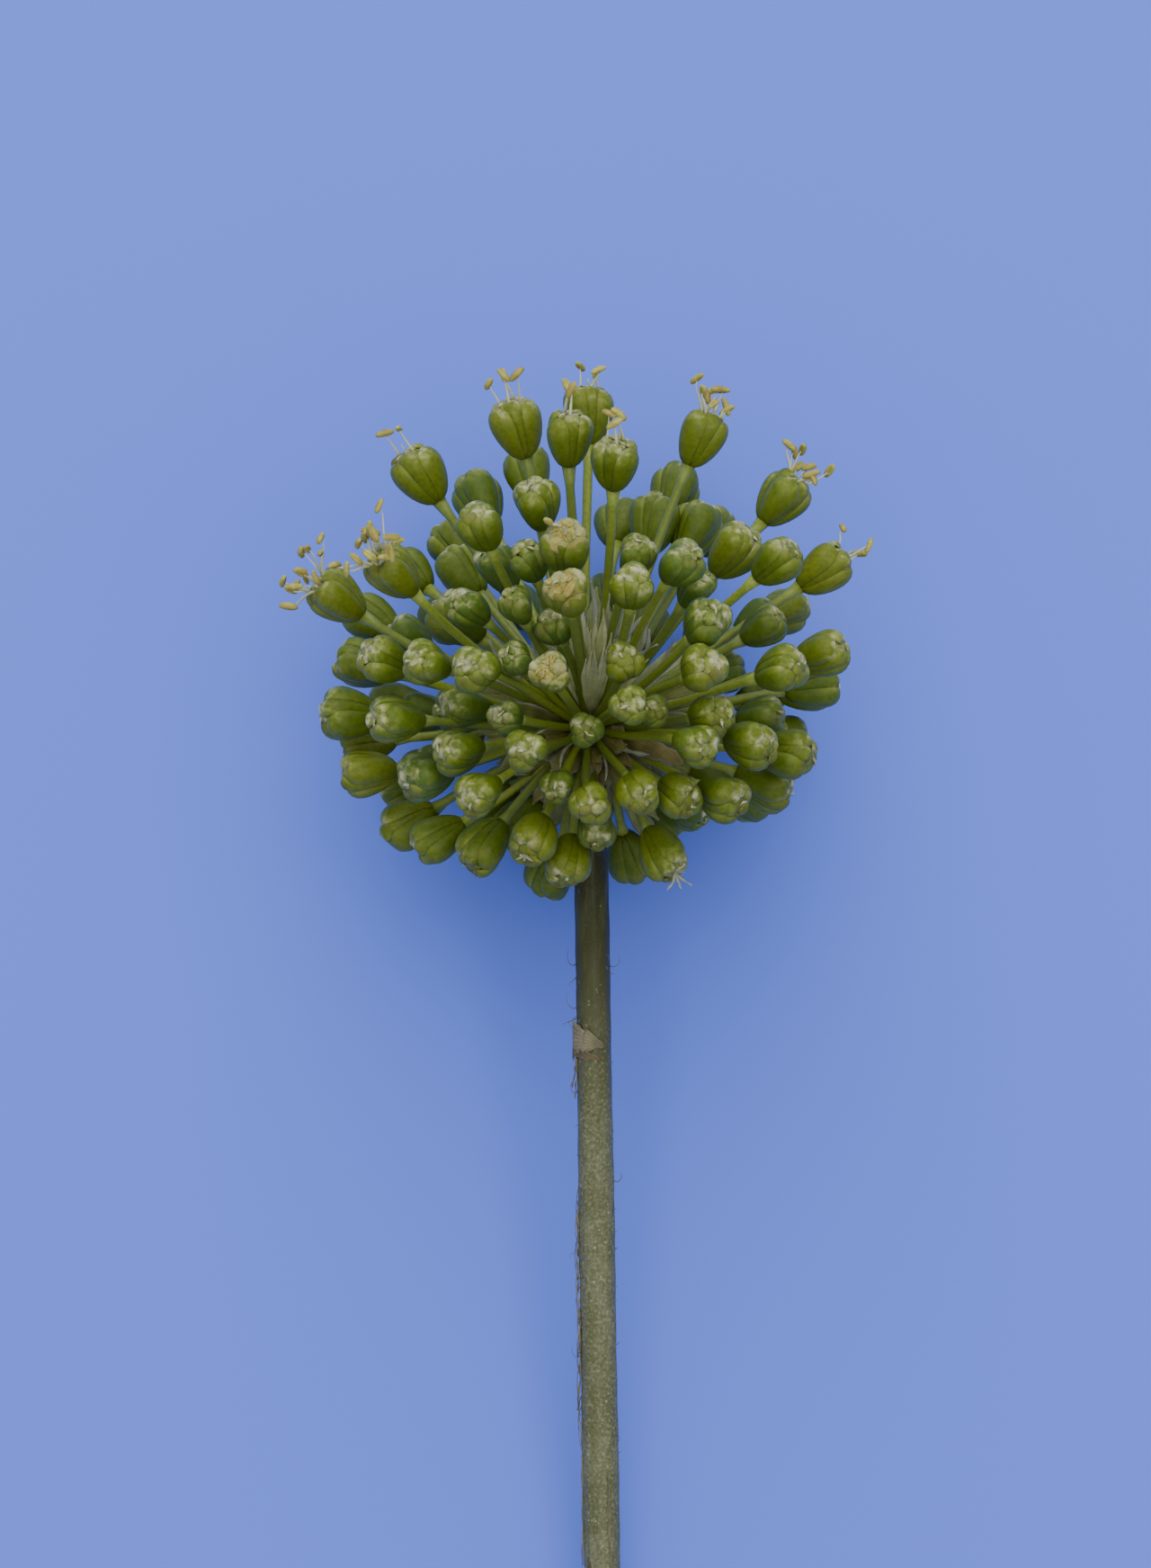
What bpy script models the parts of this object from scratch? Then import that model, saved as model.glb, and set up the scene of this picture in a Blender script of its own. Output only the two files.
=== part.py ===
"""An allium flower head, cut with a stretch of its scape and laid on a table.

The scape slopes from the round head, which rests on its lowest florets, down to its cut end.
Metres, +Z up. The scape runs along Y with the crown towards +Y, and the origin is under the
middle of the whole part, on the table. Directions on the head are given as a drop, the angle
from the crown, and a turn round the scape from the side that faces up, right-hand side positive.
"""

import math

import bmesh
import bpy
from mathutils import Matrix, Vector

MM = 0.001

# Driving sizes, in millimetres.
SHELL_ACROSS = 18.3  # the florets' middles lie on a spheroid: half its width
SHELL_ALONG = 17.0  # half its height along the scape
SHELL_RISE = 6.3  # its middle, above the receptacle
SHELL_HEIGHT = 18.9  # its middle, above the table
CUT_BELOW = 76.0  # the cut end, below the receptacle
RECEPTACLE_RADIUS = 1.9
FOOT_REACH = 2.5  # where two neighbouring pedicels join, from the receptacle's middle
FOOT_DROP = 128  # the lowest florets' pedicels start no lower on the receptacle than this
BLADE_START = 3.4  # where the papery leftovers begin
SCAPE_RADII = (1.22, 1.3, 1.36, 1.36)  # from the head down to the cut
GAP = 0.3  # between pieces that touch
PEDICEL_FOOT = 0.2
PEDICEL_NECK = 0.34
BUD_LENGTH = 4.9
BUD_RADIUS = 2.0
BUD_PROFILE = ((0.0, 0.17), (0.17, 0.62), (0.42, 1.0), (0.7, 0.97), (0.92, 0.6), (1.0, 0.2))
FRONT_SHRINK = 0.18  # how much smaller the florets that face straight up are
BLADE_WIDTH = 1.3
BLADE_THICKNESS = 0.16
SPATHE_WIDTH = 1.6
SCAPE_LEAN = 1.2  # how far the cut end stands to the right of the head's axis
LEAST_SPACING = 5.2  # between the middles of the florets that fill the far side
FAR_CANDIDATES = 420
FAR_DROPS = (59, 160)  # where they may stand: drops, and the least turn
FAR_TURN = 112
GOLDEN_TURN = 180 * (3 - math.sqrt(5))

OPEN, SPENT, SHUT, YOUNG = "open", "spent", "shut", "young"
STAGE_SIZE = {OPEN: 0.96, SPENT: 1.0, SHUT: 0.96, YOUNG: 0.8}

# The florets placed one by one, from the crown down: drop, turn, share of the shell's reach, stage.
PLACED_FLORETS = (
    (3, 180, 1.0, OPEN), (17, -51, 1.0, OPEN), (23, -10, 1.0, OPEN), (21, 88, 1.0, OPEN),
    (32, 9, 1.0, OPEN), (34, -79, 1.0, OPEN), (40, 92, 1.0, OPEN), (56, 90, 1.0, OPEN),
    (58, -52, 1.02, OPEN), (63, -80, 1.04, OPEN), (52, -6, 0.98, SPENT), (63, -5, 1.03, SPENT),
    (78, -9, 1.0, SPENT), (32, -158, 1.0, SHUT), (39, -144, 1.0, SHUT), (37, 151, 1.0, SHUT),
    (47, 144, 1.0, SHUT), (45, 171, 1.0, SHUT), (37, -18, 0.91, SHUT), (48, -29, 1.0, SHUT),
    (50, -142, 1.0, SHUT), (44, 58, 0.82, SHUT), (55, 52, 1.0, SHUT), (56, 22, 1.0, SHUT),
    (53, 35, 0.79, YOUNG), (45, 16, 0.8, YOUNG), (61, 10, 1.0, SHUT), (49, -18, 0.85, YOUNG),
    (33, -60, 0.62, YOUNG), (59, -21, 0.82, YOUNG), (59, -37, 0.81, YOUNG), (51, -75, 0.6, SHUT),
    (56, -129, 1.0, SHUT), (66, -117, 1.0, SHUT), (64, 127, 1.0, SHUT), (67, 29, 0.95, SHUT),
    (74, 9, 0.86, SHUT), (71, -22, 0.77, YOUNG), (75, -106, 0.96, SHUT), (75, -55, 1.0, SHUT),
    (76, -40, 1.0, SHUT), (77, -26, 1.0, SHUT), (77, 27, 0.98, SHUT), (77, 50, 1.0, SHUT),
    (73, 73, 0.97, SHUT), (79, 97, 0.92, SHUT), (80, 117, 1.0, SHUT), (83, 134, 1.0, SHUT),
    (85, 9, 1.0, SHUT), (85, 20, 0.74, YOUNG), (87, 34, 0.9, SHUT), (87, -85, 1.02, SHUT),
    (93, -99, 1.0, SHUT), (88, -54, 1.0, SHUT), (84, -126, 1.0, SHUT), (87, -26, 0.78, YOUNG),
    (91, -1, 0.72, YOUNG), (93, 121, 1.0, SHUT), (94, 26, 1.04, SHUT), (94, 47, 0.97, SHUT),
    (96, -16, 1.0, SHUT), (97, -43, 0.86, SHUT), (97, 69, 0.97, SHUT), (101, -84, 1.07, SHUT),
    (106, -113, 1.0, SHUT), (101, -129, 1.0, SHUT), (107, 82, 0.92, SHUT), (108, -33, 1.03, SHUT),
    (108, 14, 1.0, SHUT), (110, 44, 1.01, SHUT), (110, 29, 0.97, SHUT), (112, 0, 1.0, SHUT),
    (110, 121, 1.0, SHUT), (114, 147, 1.0, SHUT), (118, -96, 1.1, SHUT), (126, -82, 1.06, SHUT),
    (129, -24, 1.0, SHUT), (134, -60, 1.0, SHUT), (139, 43, 1.0, SHUT), (144, 154, 1.0, SHUT),
    (147, -14, 1.0, SHUT), (154, -147, 1.03, SHUT),
)

# Papery leftovers between the pedicels: drop, turn, reach of the tip.
BRACTEOLES = ((66, 3, 13.0), (66, 19, 12.5), (82, -33, 11.0), (60, 43, 12.0))
SPATHE_REMNANT = (100, 37, 11.5)


def plant_frame():
    """The receptacle's middle, and the head's own axes: right, up the scape, and towards the viewer."""
    end_radius = SCAPE_RADII[-1]
    tilt = math.asin((SHELL_HEIGHT - end_radius) / (SHELL_RISE + CUT_BELOW))
    crown = Vector((0, math.cos(tilt), math.sin(tilt)))
    front = Vector((0, -math.sin(tilt), math.cos(tilt)))
    middle = Vector((0, 0, SHELL_HEIGHT)) - crown * SHELL_RISE
    return middle, Vector((1, 0, 0)), crown, front


MIDDLE, RIGHT, CROWN, FRONT = plant_frame()


def direction(drop, turn):
    """The unit vector at a drop from the crown and a turn round the scape, in degrees."""
    drop, turn = math.radians(drop), math.radians(turn)
    side = RIGHT * math.sin(turn) + FRONT * math.cos(turn)
    return CROWN * math.cos(drop) + side * math.sin(drop)


def shell_reach(drop):
    """How far the spheroid of floret middles lies from the receptacle in that direction."""
    across, along = math.sin(math.radians(drop)), math.cos(math.radians(drop))
    a = (across / SHELL_ACROSS) ** 2 + (along / SHELL_ALONG) ** 2
    b = -2 * along * SHELL_RISE / SHELL_ALONG**2
    c = (SHELL_RISE / SHELL_ALONG) ** 2 - 1
    return (-b + math.sqrt(b * b - 4 * a * c)) / (2 * a)


def floret_middle(drop, turn, share):
    return MIDDLE + direction(drop, turn) * shell_reach(drop) * share


def far_florets():
    """Florets that fill what the placed ones leave open: points of a golden-angle spiral at the far
    side and the flanks, each kept where it stands LEAST_SPACING from every floret before it."""
    taken = [floret_middle(drop, turn, share) for drop, turn, share, _ in PLACED_FLORETS]
    found = []
    for i in range(FAR_CANDIDATES):
        drop = math.degrees(math.acos(1 - 2 * (i + 0.5) / FAR_CANDIDATES))
        turn = (i * GOLDEN_TURN + 180) % 360 - 180
        middle = floret_middle(drop, turn, 1.0)
        if not FAR_DROPS[0] < drop < FAR_DROPS[1] or abs(turn) < FAR_TURN:
            continue
        if all((middle - other).length > LEAST_SPACING for other in taken):
            taken.append(middle)
            found.append((drop, turn, 1.0, SHUT))
    if (len(PLACED_FLORETS) + len(found)) % 2:
        found.pop()
    return found


def bud_size(stage, way):
    """A bud's size by its stage, less towards the side that faces up: by the cube of how squarely
    it faces that side."""
    return STAGE_SIZE[stage] * (1 - FRONT_SHRINK * max(0, way.dot(FRONT)) ** 3)


def settle(centre, way, size):
    """Lifts a bud that would reach through the table until it rests on it."""
    half, radius = BUD_LENGTH / 2 * size, BUD_RADIUS * size
    depth = math.hypot(half * way.z, radius * math.hypot(way.x, way.y))
    return Vector((centre.x, centre.y, max(centre.z, depth)))


def florets():
    """(middle of the bud, its outward direction, stage) for every floret."""
    found = []
    for drop, turn, share, stage in (*PLACED_FLORETS, *far_florets()):
        way = direction(drop, turn)
        centre = settle(floret_middle(drop, turn, share), way, bud_size(stage, way))
        found.append((centre, (centre - MIDDLE).normalized(), stage))
    return found


def neighbour_pairs(ways):
    """Florets two by two, each with a near neighbour: the closest pairs first, then partners are
    swapped between pairs for as long as that brings them closer together."""
    angle = [[a.angle(b) for b in ways] for a in ways]
    order = sorted((angle[i][j], i, j) for i in range(len(ways)) for j in range(i))
    free, pairs = set(range(len(ways))), []
    for _, i, j in order:
        if i in free and j in free:
            pairs.append([i, j])
            free -= {i, j}
    changed = True
    while changed:
        changed = False
        for p in range(len(pairs)):
            for q in range(p):
                (a, b), (c, d) = pairs[p], pairs[q]
                for first, second in (((a, c), (b, d)), ((a, d), (b, c))):
                    now = angle[pairs[p][0]][pairs[p][1]] ** 2 + angle[pairs[q][0]][pairs[q][1]] ** 2
                    then = angle[first[0]][first[1]] ** 2 + angle[second[0]][second[1]] ** 2
                    if then < now - 1e-9:
                        pairs[p], pairs[q] = list(first), list(second)
                        changed = True
    return sorted(sorted(pair) for pair in pairs), sorted(free)


# Blender pieces.

def material(name, colour, roughness):
    made = bpy.data.materials.new(name)
    made.use_nodes = True
    shader = made.node_tree.nodes["Principled BSDF"]
    shader.inputs["Base Color"].default_value = (*colour, 1)
    shader.inputs["Roughness"].default_value = roughness
    return made


def add(collection, name, data, colour, roughness):
    piece = bpy.data.objects.new(name, data)
    data.materials.append(material(name, colour, roughness))
    collection.objects.link(piece)
    return piece


def tube(collection, name, rings, colour, roughness, fineness=1):
    """One closed tube through rings of (middle, radius), in millimetres."""
    curve = bpy.data.curves.new(name, "CURVE")
    curve.dimensions = "3D"
    curve.bevel_depth = MM
    curve.bevel_resolution = fineness
    curve.use_fill_caps = True
    spline = curve.splines.new("POLY")
    spline.points.add(len(rings) - 1)
    for point, (middle, radius) in zip(spline.points, rings):
        point.co = (*(middle * MM), 1)
        point.radius = radius
    return add(collection, name, curve, colour, roughness)


def foot_direction(way):
    """Where a pedicel leaves the receptacle: straight under its floret, but no lower than its shoulder."""
    drop = CROWN.angle(way)
    return CROWN.slerp(way, min(1, math.radians(FOOT_DROP) / drop))


def stalked_bud(centre, way, stage):
    """Rings of one floret from its tip, over the bud and down its pedicel to the foot."""
    size = bud_size(stage, way)
    length, radius = BUD_LENGTH * size, BUD_RADIUS * size
    neck = centre - way * length / 2
    rings = [(neck + way * length * along, radius * across) for along, across in reversed(BUD_PROFILE)]
    foot = MIDDLE + foot_direction(way) * FOOT_REACH
    rings.append((foot.lerp(neck, 0.5), (PEDICEL_FOOT + PEDICEL_NECK) / 2))
    rings.append((foot + (neck - foot).normalized() * 0.9, PEDICEL_FOOT))
    return rings


def floret_pair(collection, name, one, other):
    """Two florets whose pedicels join in one foot over the receptacle."""
    from_way, to_way, foot = foot_direction(one[1]), foot_direction(other[1]), []
    for share in (0.3, 0.7):
        foot.append((MIDDLE + from_way.slerp(to_way, share) * FOOT_REACH, PEDICEL_FOOT))
    rings = stalked_bud(*one) + foot + stalked_bud(*other)[::-1]
    return tube(collection, name, rings, (0.13, 0.2, 0.03), 0.45)


def scape_rings():
    start, rings = RECEPTACLE_RADIUS + GAP, []
    steps = 12
    for i in range(steps + 1):
        below = start + (CUT_BELOW - start) * i / steps
        share = (len(SCAPE_RADII) - 1) * i / steps
        first = min(int(share), len(SCAPE_RADII) - 2)
        radius = SCAPE_RADII[first] + (SCAPE_RADII[first + 1] - SCAPE_RADII[first]) * (share - first)
        rings.append((MIDDLE - CROWN * below + RIGHT * SCAPE_LEAN * below / CUT_BELOW, radius))
    return rings


def receptacle(collection):
    mesh = bpy.data.meshes.new("receptacle")
    knob = bmesh.new()
    bmesh.ops.create_uvsphere(knob, u_segments=16, v_segments=10, radius=RECEPTACLE_RADIUS * MM)
    bmesh.ops.translate(knob, verts=knob.verts, vec=MIDDLE * MM)
    knob.to_mesh(mesh)
    knob.free()
    return add(collection, "receptacle", mesh, (0.12, 0.15, 0.05), 0.6)


def blade(collection, name, drop, turn, tip, width, facing, colour):
    """A thin pointed blade from beside the receptacle to its tip, flat side to the facing."""
    way = direction(drop, turn)
    side = facing.cross(way).normalized()
    face = way.cross(side).normalized()
    mesh = bpy.data.meshes.new(name)
    sheet = bmesh.new()
    bmesh.ops.create_grid(sheet, x_segments=10, y_segments=2, size=0.5)
    start = BLADE_START
    for vertex in sheet.verts:
        along = vertex.co.x + 0.5
        half = width * (0.18 + 0.82 * math.sin(math.pi * min(along * 1.25, 1) ** 0.8) ** 0.7) * (1 - along**4)
        reach = start + (tip - start) * along
        across = 2 * vertex.co.y * (half / 2 + 0.06)
        cup = 0.3 * across * across
        vertex.co = (MIDDLE + way * reach + side * across + face * cup) * MM
    sheet.to_mesh(mesh)
    sheet.free()
    piece = add(collection, name, mesh, colour, 0.7)
    thicken = piece.modifiers.new("thickness", "SOLIDIFY")
    thicken.thickness = BLADE_THICKNESS * MM
    thicken.offset = 0
    return piece


def rest_at_origin(pieces):
    """Moves every piece so that the box round them all stands on the origin."""
    bpy.context.view_layer.update()
    corners = [Vector(corner) for piece in pieces for corner in piece.bound_box]
    low = Vector([min(corner[i] for corner in corners) for i in range(3)])
    high = Vector([max(corner[i] for corner in corners) for i in range(3)])
    shift = Matrix.Translation(-Vector(((low.x + high.x) / 2, (low.y + high.y) / 2, low.z)))
    for piece in pieces:
        piece.data.transform(shift)


def main():
    for old in list(bpy.data.objects):
        bpy.data.objects.remove(old, do_unlink=True)
    group = bpy.data.collections.new("allium_flower_head")
    bpy.context.scene.collection.children.link(group)
    pieces = [
        receptacle(group),
        tube(group, "scape", scape_rings(), (0.14, 0.17, 0.08), 0.55, fineness=4),
    ]
    all_florets = florets()
    pairs, _ = neighbour_pairs([way for _, way, _ in all_florets])
    for number, (i, j) in enumerate(pairs, 1):
        pieces.append(floret_pair(group, f"florets_{number:02}", all_florets[i], all_florets[j]))
    for number, (drop, turn, tip) in enumerate(BRACTEOLES, 1):
        name = f"bracteole_{number:02}"
        pieces.append(blade(group, name, drop, turn, tip, BLADE_WIDTH, FRONT, (0.3, 0.36, 0.14)))
    drop, turn, tip = SPATHE_REMNANT
    pieces.append(blade(group, "spathe_remnant", drop, turn, tip, SPATHE_WIDTH, FRONT, (0.2, 0.16, 0.06)))
    rest_at_origin(pieces)


main()
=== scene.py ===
"""An allium flower head with a stretch of its scape, laid on a pale studio floor.

Run as a script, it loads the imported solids, dresses every one of them in finished pieces and sets
the stage. Lengths below are in millimetres unless a name says otherwise, and meshes in metres. A
direction on the head is a drop, its angle from the crown, and a turn round the scape from the side
that faces up, right-hand side positive, both in degrees.
"""

import math
import bpy
import numpy as np
from bpy.props import FloatProperty, FloatVectorProperty, PointerProperty
from bpy.types import Operator, Panel, PropertyGroup
from mathutils import Matrix, Vector


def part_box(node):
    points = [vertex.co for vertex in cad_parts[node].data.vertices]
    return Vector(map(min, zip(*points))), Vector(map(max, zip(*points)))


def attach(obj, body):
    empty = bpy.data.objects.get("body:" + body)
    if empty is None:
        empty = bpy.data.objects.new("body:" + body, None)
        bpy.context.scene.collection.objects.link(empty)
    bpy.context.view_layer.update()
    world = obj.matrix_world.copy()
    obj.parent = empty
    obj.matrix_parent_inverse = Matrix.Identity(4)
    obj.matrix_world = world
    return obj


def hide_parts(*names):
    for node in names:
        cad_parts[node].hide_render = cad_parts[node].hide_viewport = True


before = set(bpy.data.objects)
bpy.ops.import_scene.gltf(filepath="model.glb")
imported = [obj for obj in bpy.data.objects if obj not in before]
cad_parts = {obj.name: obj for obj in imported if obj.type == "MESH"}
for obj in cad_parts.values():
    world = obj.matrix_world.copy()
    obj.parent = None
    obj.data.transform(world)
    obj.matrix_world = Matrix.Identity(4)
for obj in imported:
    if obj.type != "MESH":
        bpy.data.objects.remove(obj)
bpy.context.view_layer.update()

bl_info = {
    "name": "Allium Flower Head",
    "version": (1, 0, 0),
    "blender": (4, 5, 0),
    "location": "View3D > Sidebar > Allium",
    "description": "Builds a cut allium flower head from its umbel down to the scape's cut end",
    "category": "Object",
}

MM = 0.001
SENSOR_WIDTH = 36.0

# The head's sizes, as its solids have them.
SHELL_ACROSS = 18.3
SHELL_ALONG = 17.0
SHELL_RISE = 6.3
SHELL_HEIGHT = 18.9
CUT_BELOW = 76.0
RECEPTACLE_RADIUS = 1.9
FOOT_DROP = 128
SCAPE_RADII = (1.22, 1.3, 1.36, 1.36)
SCAPE_LEAN = 1.2
BUD_LENGTH = 4.9
BUD_RADIUS = 2.0
FRONT_SHRINK = 0.18
LEAST_SPACING = 5.2
GOLDEN_TURN = 180 * (3 - math.sqrt(5))
FAR_CANDIDATES = 420
FAR_DROPS = (59, 160)
FAR_TURN = 112  # the least turn to either side
NODE_SLACK = 12  # how far a pair's solid may lie from the middle of its florets

OPEN, SPENT, SHUT, YOUNG = "open", "spent", "shut", "young"
STAGE_SIZE = {OPEN: 0.96, SPENT: 1.0, SHUT: 0.96, YOUNG: 0.8}

# Where the seeds of each random draw start. A floret's or a ribbon's number is added.
SIZE_SEED, AXIS_SEED, PEDICEL_SEED, STAMEN_SEED = 500, 900, 1300, 40
MOUTH_SEED, TONE_SEED, PALE_SEED, WISP_SEED = 70, 30, 80, 60

# The material slots of floret pieces, of stamens and of the scape's torn skin.
TEPALS, PEDICEL, SHREDS, WITHERED = range(4)
FILAMENT, ANTHER = range(2)
PALE_SKIN, DARK_SKIN = range(2)

# The florets placed one by one, from the crown down: drop, turn, share of the shell's reach, stage.
PLACED_FLORETS = (
    (3, 180, 1.0, OPEN), (17, -51, 1.0, OPEN), (23, -10, 1.0, OPEN), (21, 88, 1.0, OPEN),
    (32, 9, 1.0, OPEN), (34, -79, 1.0, OPEN), (40, 92, 1.0, OPEN), (56, 90, 1.0, OPEN),
    (58, -52, 1.02, OPEN), (63, -80, 1.04, OPEN), (52, -6, 0.98, SPENT), (63, -5, 1.03, SPENT),
    (78, -9, 1.0, SPENT), (32, -158, 1.0, SHUT), (39, -144, 1.0, SHUT), (37, 151, 1.0, SHUT),
    (47, 144, 1.0, SHUT), (45, 171, 1.0, SHUT), (37, -18, 0.91, SHUT), (48, -29, 1.0, SHUT),
    (50, -142, 1.0, SHUT), (44, 58, 0.82, SHUT), (55, 52, 1.0, SHUT), (56, 22, 1.0, SHUT),
    (53, 35, 0.79, YOUNG), (45, 16, 0.8, YOUNG), (61, 10, 1.0, SHUT), (49, -18, 0.85, YOUNG),
    (33, -60, 0.62, YOUNG), (59, -21, 0.82, YOUNG), (59, -37, 0.81, YOUNG), (51, -75, 0.6, SHUT),
    (56, -129, 1.0, SHUT), (66, -117, 1.0, SHUT), (64, 127, 1.0, SHUT), (67, 29, 0.95, SHUT),
    (74, 9, 0.86, SHUT), (71, -22, 0.77, YOUNG), (75, -106, 0.96, SHUT), (75, -55, 1.0, SHUT),
    (76, -40, 1.0, SHUT), (77, -26, 1.0, SHUT), (77, 27, 0.98, SHUT), (77, 50, 1.0, SHUT),
    (73, 73, 0.97, SHUT), (79, 97, 0.92, SHUT), (80, 117, 1.0, SHUT), (83, 134, 1.0, SHUT),
    (85, 9, 1.0, SHUT), (85, 20, 0.74, YOUNG), (87, 34, 0.9, SHUT), (87, -85, 1.02, SHUT),
    (93, -99, 1.0, SHUT), (88, -54, 1.0, SHUT), (84, -126, 1.0, SHUT), (87, -26, 0.78, YOUNG),
    (91, -1, 0.72, YOUNG), (93, 121, 1.0, SHUT), (94, 26, 1.04, SHUT), (94, 47, 0.97, SHUT),
    (96, -16, 1.0, SHUT), (97, -43, 0.86, SHUT), (97, 69, 0.97, SHUT), (101, -84, 1.07, SHUT),
    (106, -113, 1.0, SHUT), (101, -129, 1.0, SHUT), (107, 82, 0.92, SHUT), (108, -33, 1.03, SHUT),
    (108, 14, 1.0, SHUT), (110, 44, 1.01, SHUT), (110, 29, 0.97, SHUT), (112, 0, 1.0, SHUT),
    (110, 121, 1.0, SHUT), (114, 147, 1.0, SHUT), (118, -96, 1.1, SHUT), (126, -82, 1.06, SHUT),
    (129, -24, 1.0, SHUT), (134, -60, 1.0, SHUT), (139, 43, 1.0, SHUT), (144, 154, 1.0, SHUT),
    (147, -14, 1.0, SHUT), (154, -147, 1.03, SHUT),
)

# Short-stalked florets among the others' pedicels, which have no solids: drop, turn, share, stage.
INNER_FLORETS = (
    (111, -12, 0.8, YOUNG), (134, 4, 0.85, YOUNG), (104, -58, 0.94, SHUT), (83, -56, 0.62, SHUT),
    (31, 147, 0.79, SHUT), (45, -125, 0.75, SHUT), (59, -12, 0.68, YOUNG), (38, 137, 0.85, SHUT),
)
INNER_CANDIDATES = 260
INNER_DROPS = (58, 150)
INNER_TURN = 70
INNER_SHARE = 0.74  # how far out the automatic ones stand
INNER_CLEARANCE = 9.5  # degrees to the direction of every floret that has a solid
INNER_SPACING = 3.9
INNER_GROUP = 4  # how many share a piece

# Papery blades between the pedicels: drop, turn, reach of the tip, width and number of teeth.
BRACTEOLES = ((66, 3, 14.6, 1.9, 8), (66, 19, 14.0, 1.1, 4), (82, -33, 12.0, 0.8, 3), (60, 43, 13.4, 1.1, 4))
FAN_BLADES = (
    (45, 5, 12.6, 1.3), (38, -8, 12.0, 1.0), (50, 16, 11.5, 1.0), (36, 14, 12.4, 0.9), (58, -12, 9.0, 1.0),
    (42, 26, 11.4, 0.8), (52, -3, 11.8, 0.8), (46, -15, 10.4, 0.8), (60, 10, 10.2, 0.8),
)
SPATHE_REMNANT = (100, 37, 11.5)
SPATHE_BLADES = ((112, 24, 9.0), (118, 4, 8.0), (126, 30, 8.4), (108, 52, 8.8), (122, -22, 7.6))
BLADE_FOOT = 1.9  # how far out a blade starts
CHAFF_CANDIDATES = 110

# Strips of torn skin along the scape: how far below the head they start and end, their turns there,
# width, how proud they lie, how far the end curls off, slot, seed, rows.
SKIN_STRIPS = (
    (21.8, 26.6, -84, -88, 0.75, 0.06, 0.3, DARK_SKIN, 1, 24),
    (22.4, 27.4, -72, -80, 0.3, 0.04, 0.15, PALE_SKIN, 2, 24),
    (35.0, 42.5, -84, -88, 0.5, 0.04, 0.2, PALE_SKIN, 4, 40),
    (43.0, 50.5, -82, -86, 0.55, 0.04, 0.25, PALE_SKIN, 5, 40),
    (51.0, 62.0, -78, -84, 0.3, 0.03, 0.1, PALE_SKIN, 6, 40),
    (55.0, 62.0, 22, 26, 0.3, 0.02, 0.05, PALE_SKIN, 7, 24),
)

# Curled fibres on the scape: how far below the head, turn, how far they stand off, curl, slot.
CURLED_FIBRES = (
    (17.4, -78, 0.9, 1.0, 1), (18.4, -84, 0.7, -0.7, 0), (20.6, -80, 1.0, 1.1, 1), (21.4, -88, 1.3, -0.7, 1),
    (22.0, -90, 0.8, 0.6, 0), (26.8, -84, 0.7, 0.5, 1), (17.5, 84, 1.0, 0.7, 1), (17.9, 80, 0.5, -0.3, 0),
    (33.4, 82, 0.8, 0.5, 1), (38.5, -86, 1.0, -0.8, 0), (46.4, -88, 0.9, 0.6, 1),
)
BRISTLES = 150
TORN_LOOPS = 26

# Stray ribbons between the pedicels: drop, turn, where they start and end, and their sideways bend.
WISPS = (
    (58, 24, 7.0, 12.4, -0.9), (52, 30, 8.0, 12.2, 0.8), (48, 22, 8.4, 12.8, -0.7),
    (55, 34, 6.6, 11.4, 1.1), (62, 40, 5.2, 12.6, 1.2), (58, -34, 8.0, 13.4, 0.8),
    (64, -42, 8.2, 13.0, -0.9), (70, -38, 7.4, 12.2, 0.6), (60, -26, 7.0, 12.4, -0.6),
    (54, -20, 7.0, 12.6, 0.7), (78, -34, 5.0, 12.0, 0.9), (86, -40, 5.4, 11.4, -0.8),
    (90, -24, 5.0, 11.0, 0.9), (98, -30, 4.4, 10.4, -0.6), (104, -16, 4.2, 9.6, 0.7),
    (112, 12, 4.0, 9.4, -0.7), (104, 24, 4.4, 10.2, 0.6), (118, 24, 4.0, 9.6, 0.8),
    (76, 52, 5.6, 12.8, -0.8), (84, 56, 6.0, 12.0, 0.7), (40, 20, 8.6, 13.0, 0.5),
    (44, -6, 7.4, 12.8, -0.5), (38, 4, 8.4, 13.6, 0.5),
)
HANGING_WISPS = ((139, 43, 1.9), (129, -24, 1.0))

# How many stamens still stand out of each flower and how tangled they are, in the order of
# PLACED_FLORETS: ten open ones and three spent ones.
STAMENS = (
    (3, 0.0), (4, -0.3), (2, -0.5), (9, 0.6), (3, -0.2), (2, -0.5), (9, 0.8), (3, 0.3), (16, 1.2), (13, 1.2),
    (2, 0.4), (2, 0.4), (0, 0.0),
)

# A tepal's midrib from the neck to its tip, as an outer one and an inner one have it: how far along,
# its distance from the bud's axis and its height over the neck.
OUTER_MIDRIB = (
    (0.0, 0.3, 0.0), (0.05, 0.66, 0.1), (0.12, 1.04, 0.42), (0.22, 1.45, 1.0), (0.34, 1.78, 1.74),
    (0.47, 1.99, 2.5), (0.6, 2.05, 3.14), (0.7, 1.95, 3.64), (0.79, 1.68, 4.04), (0.87, 1.28, 4.28),
    (0.94, 0.9, 4.26), (1.0, 0.66, 4.0),
)
INNER_MIDRIB = (
    (0.0, 0.3, 0.0), (0.05, 0.58, 0.12), (0.12, 0.88, 0.44), (0.22, 1.16, 1.0), (0.34, 1.42, 1.74),
    (0.47, 1.6, 2.5), (0.6, 1.68, 3.16), (0.7, 1.62, 3.7), (0.79, 1.42, 4.16), (0.87, 1.1, 4.44),
    (0.94, 0.7, 4.5), (1.0, 0.42, 4.3),
)
# Half of the angle round the bud that a tepal takes, along its length: outer ones, inner ones.
TEPAL_ANGLES = (
    (0.0, 60, 50), (0.2, 58, 42), (0.5, 57, 36), (0.68, 54, 36), (0.8, 49, 40), (0.9, 46, 46),
    (1.0, 46, 50),
)


# The head's layout

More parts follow.
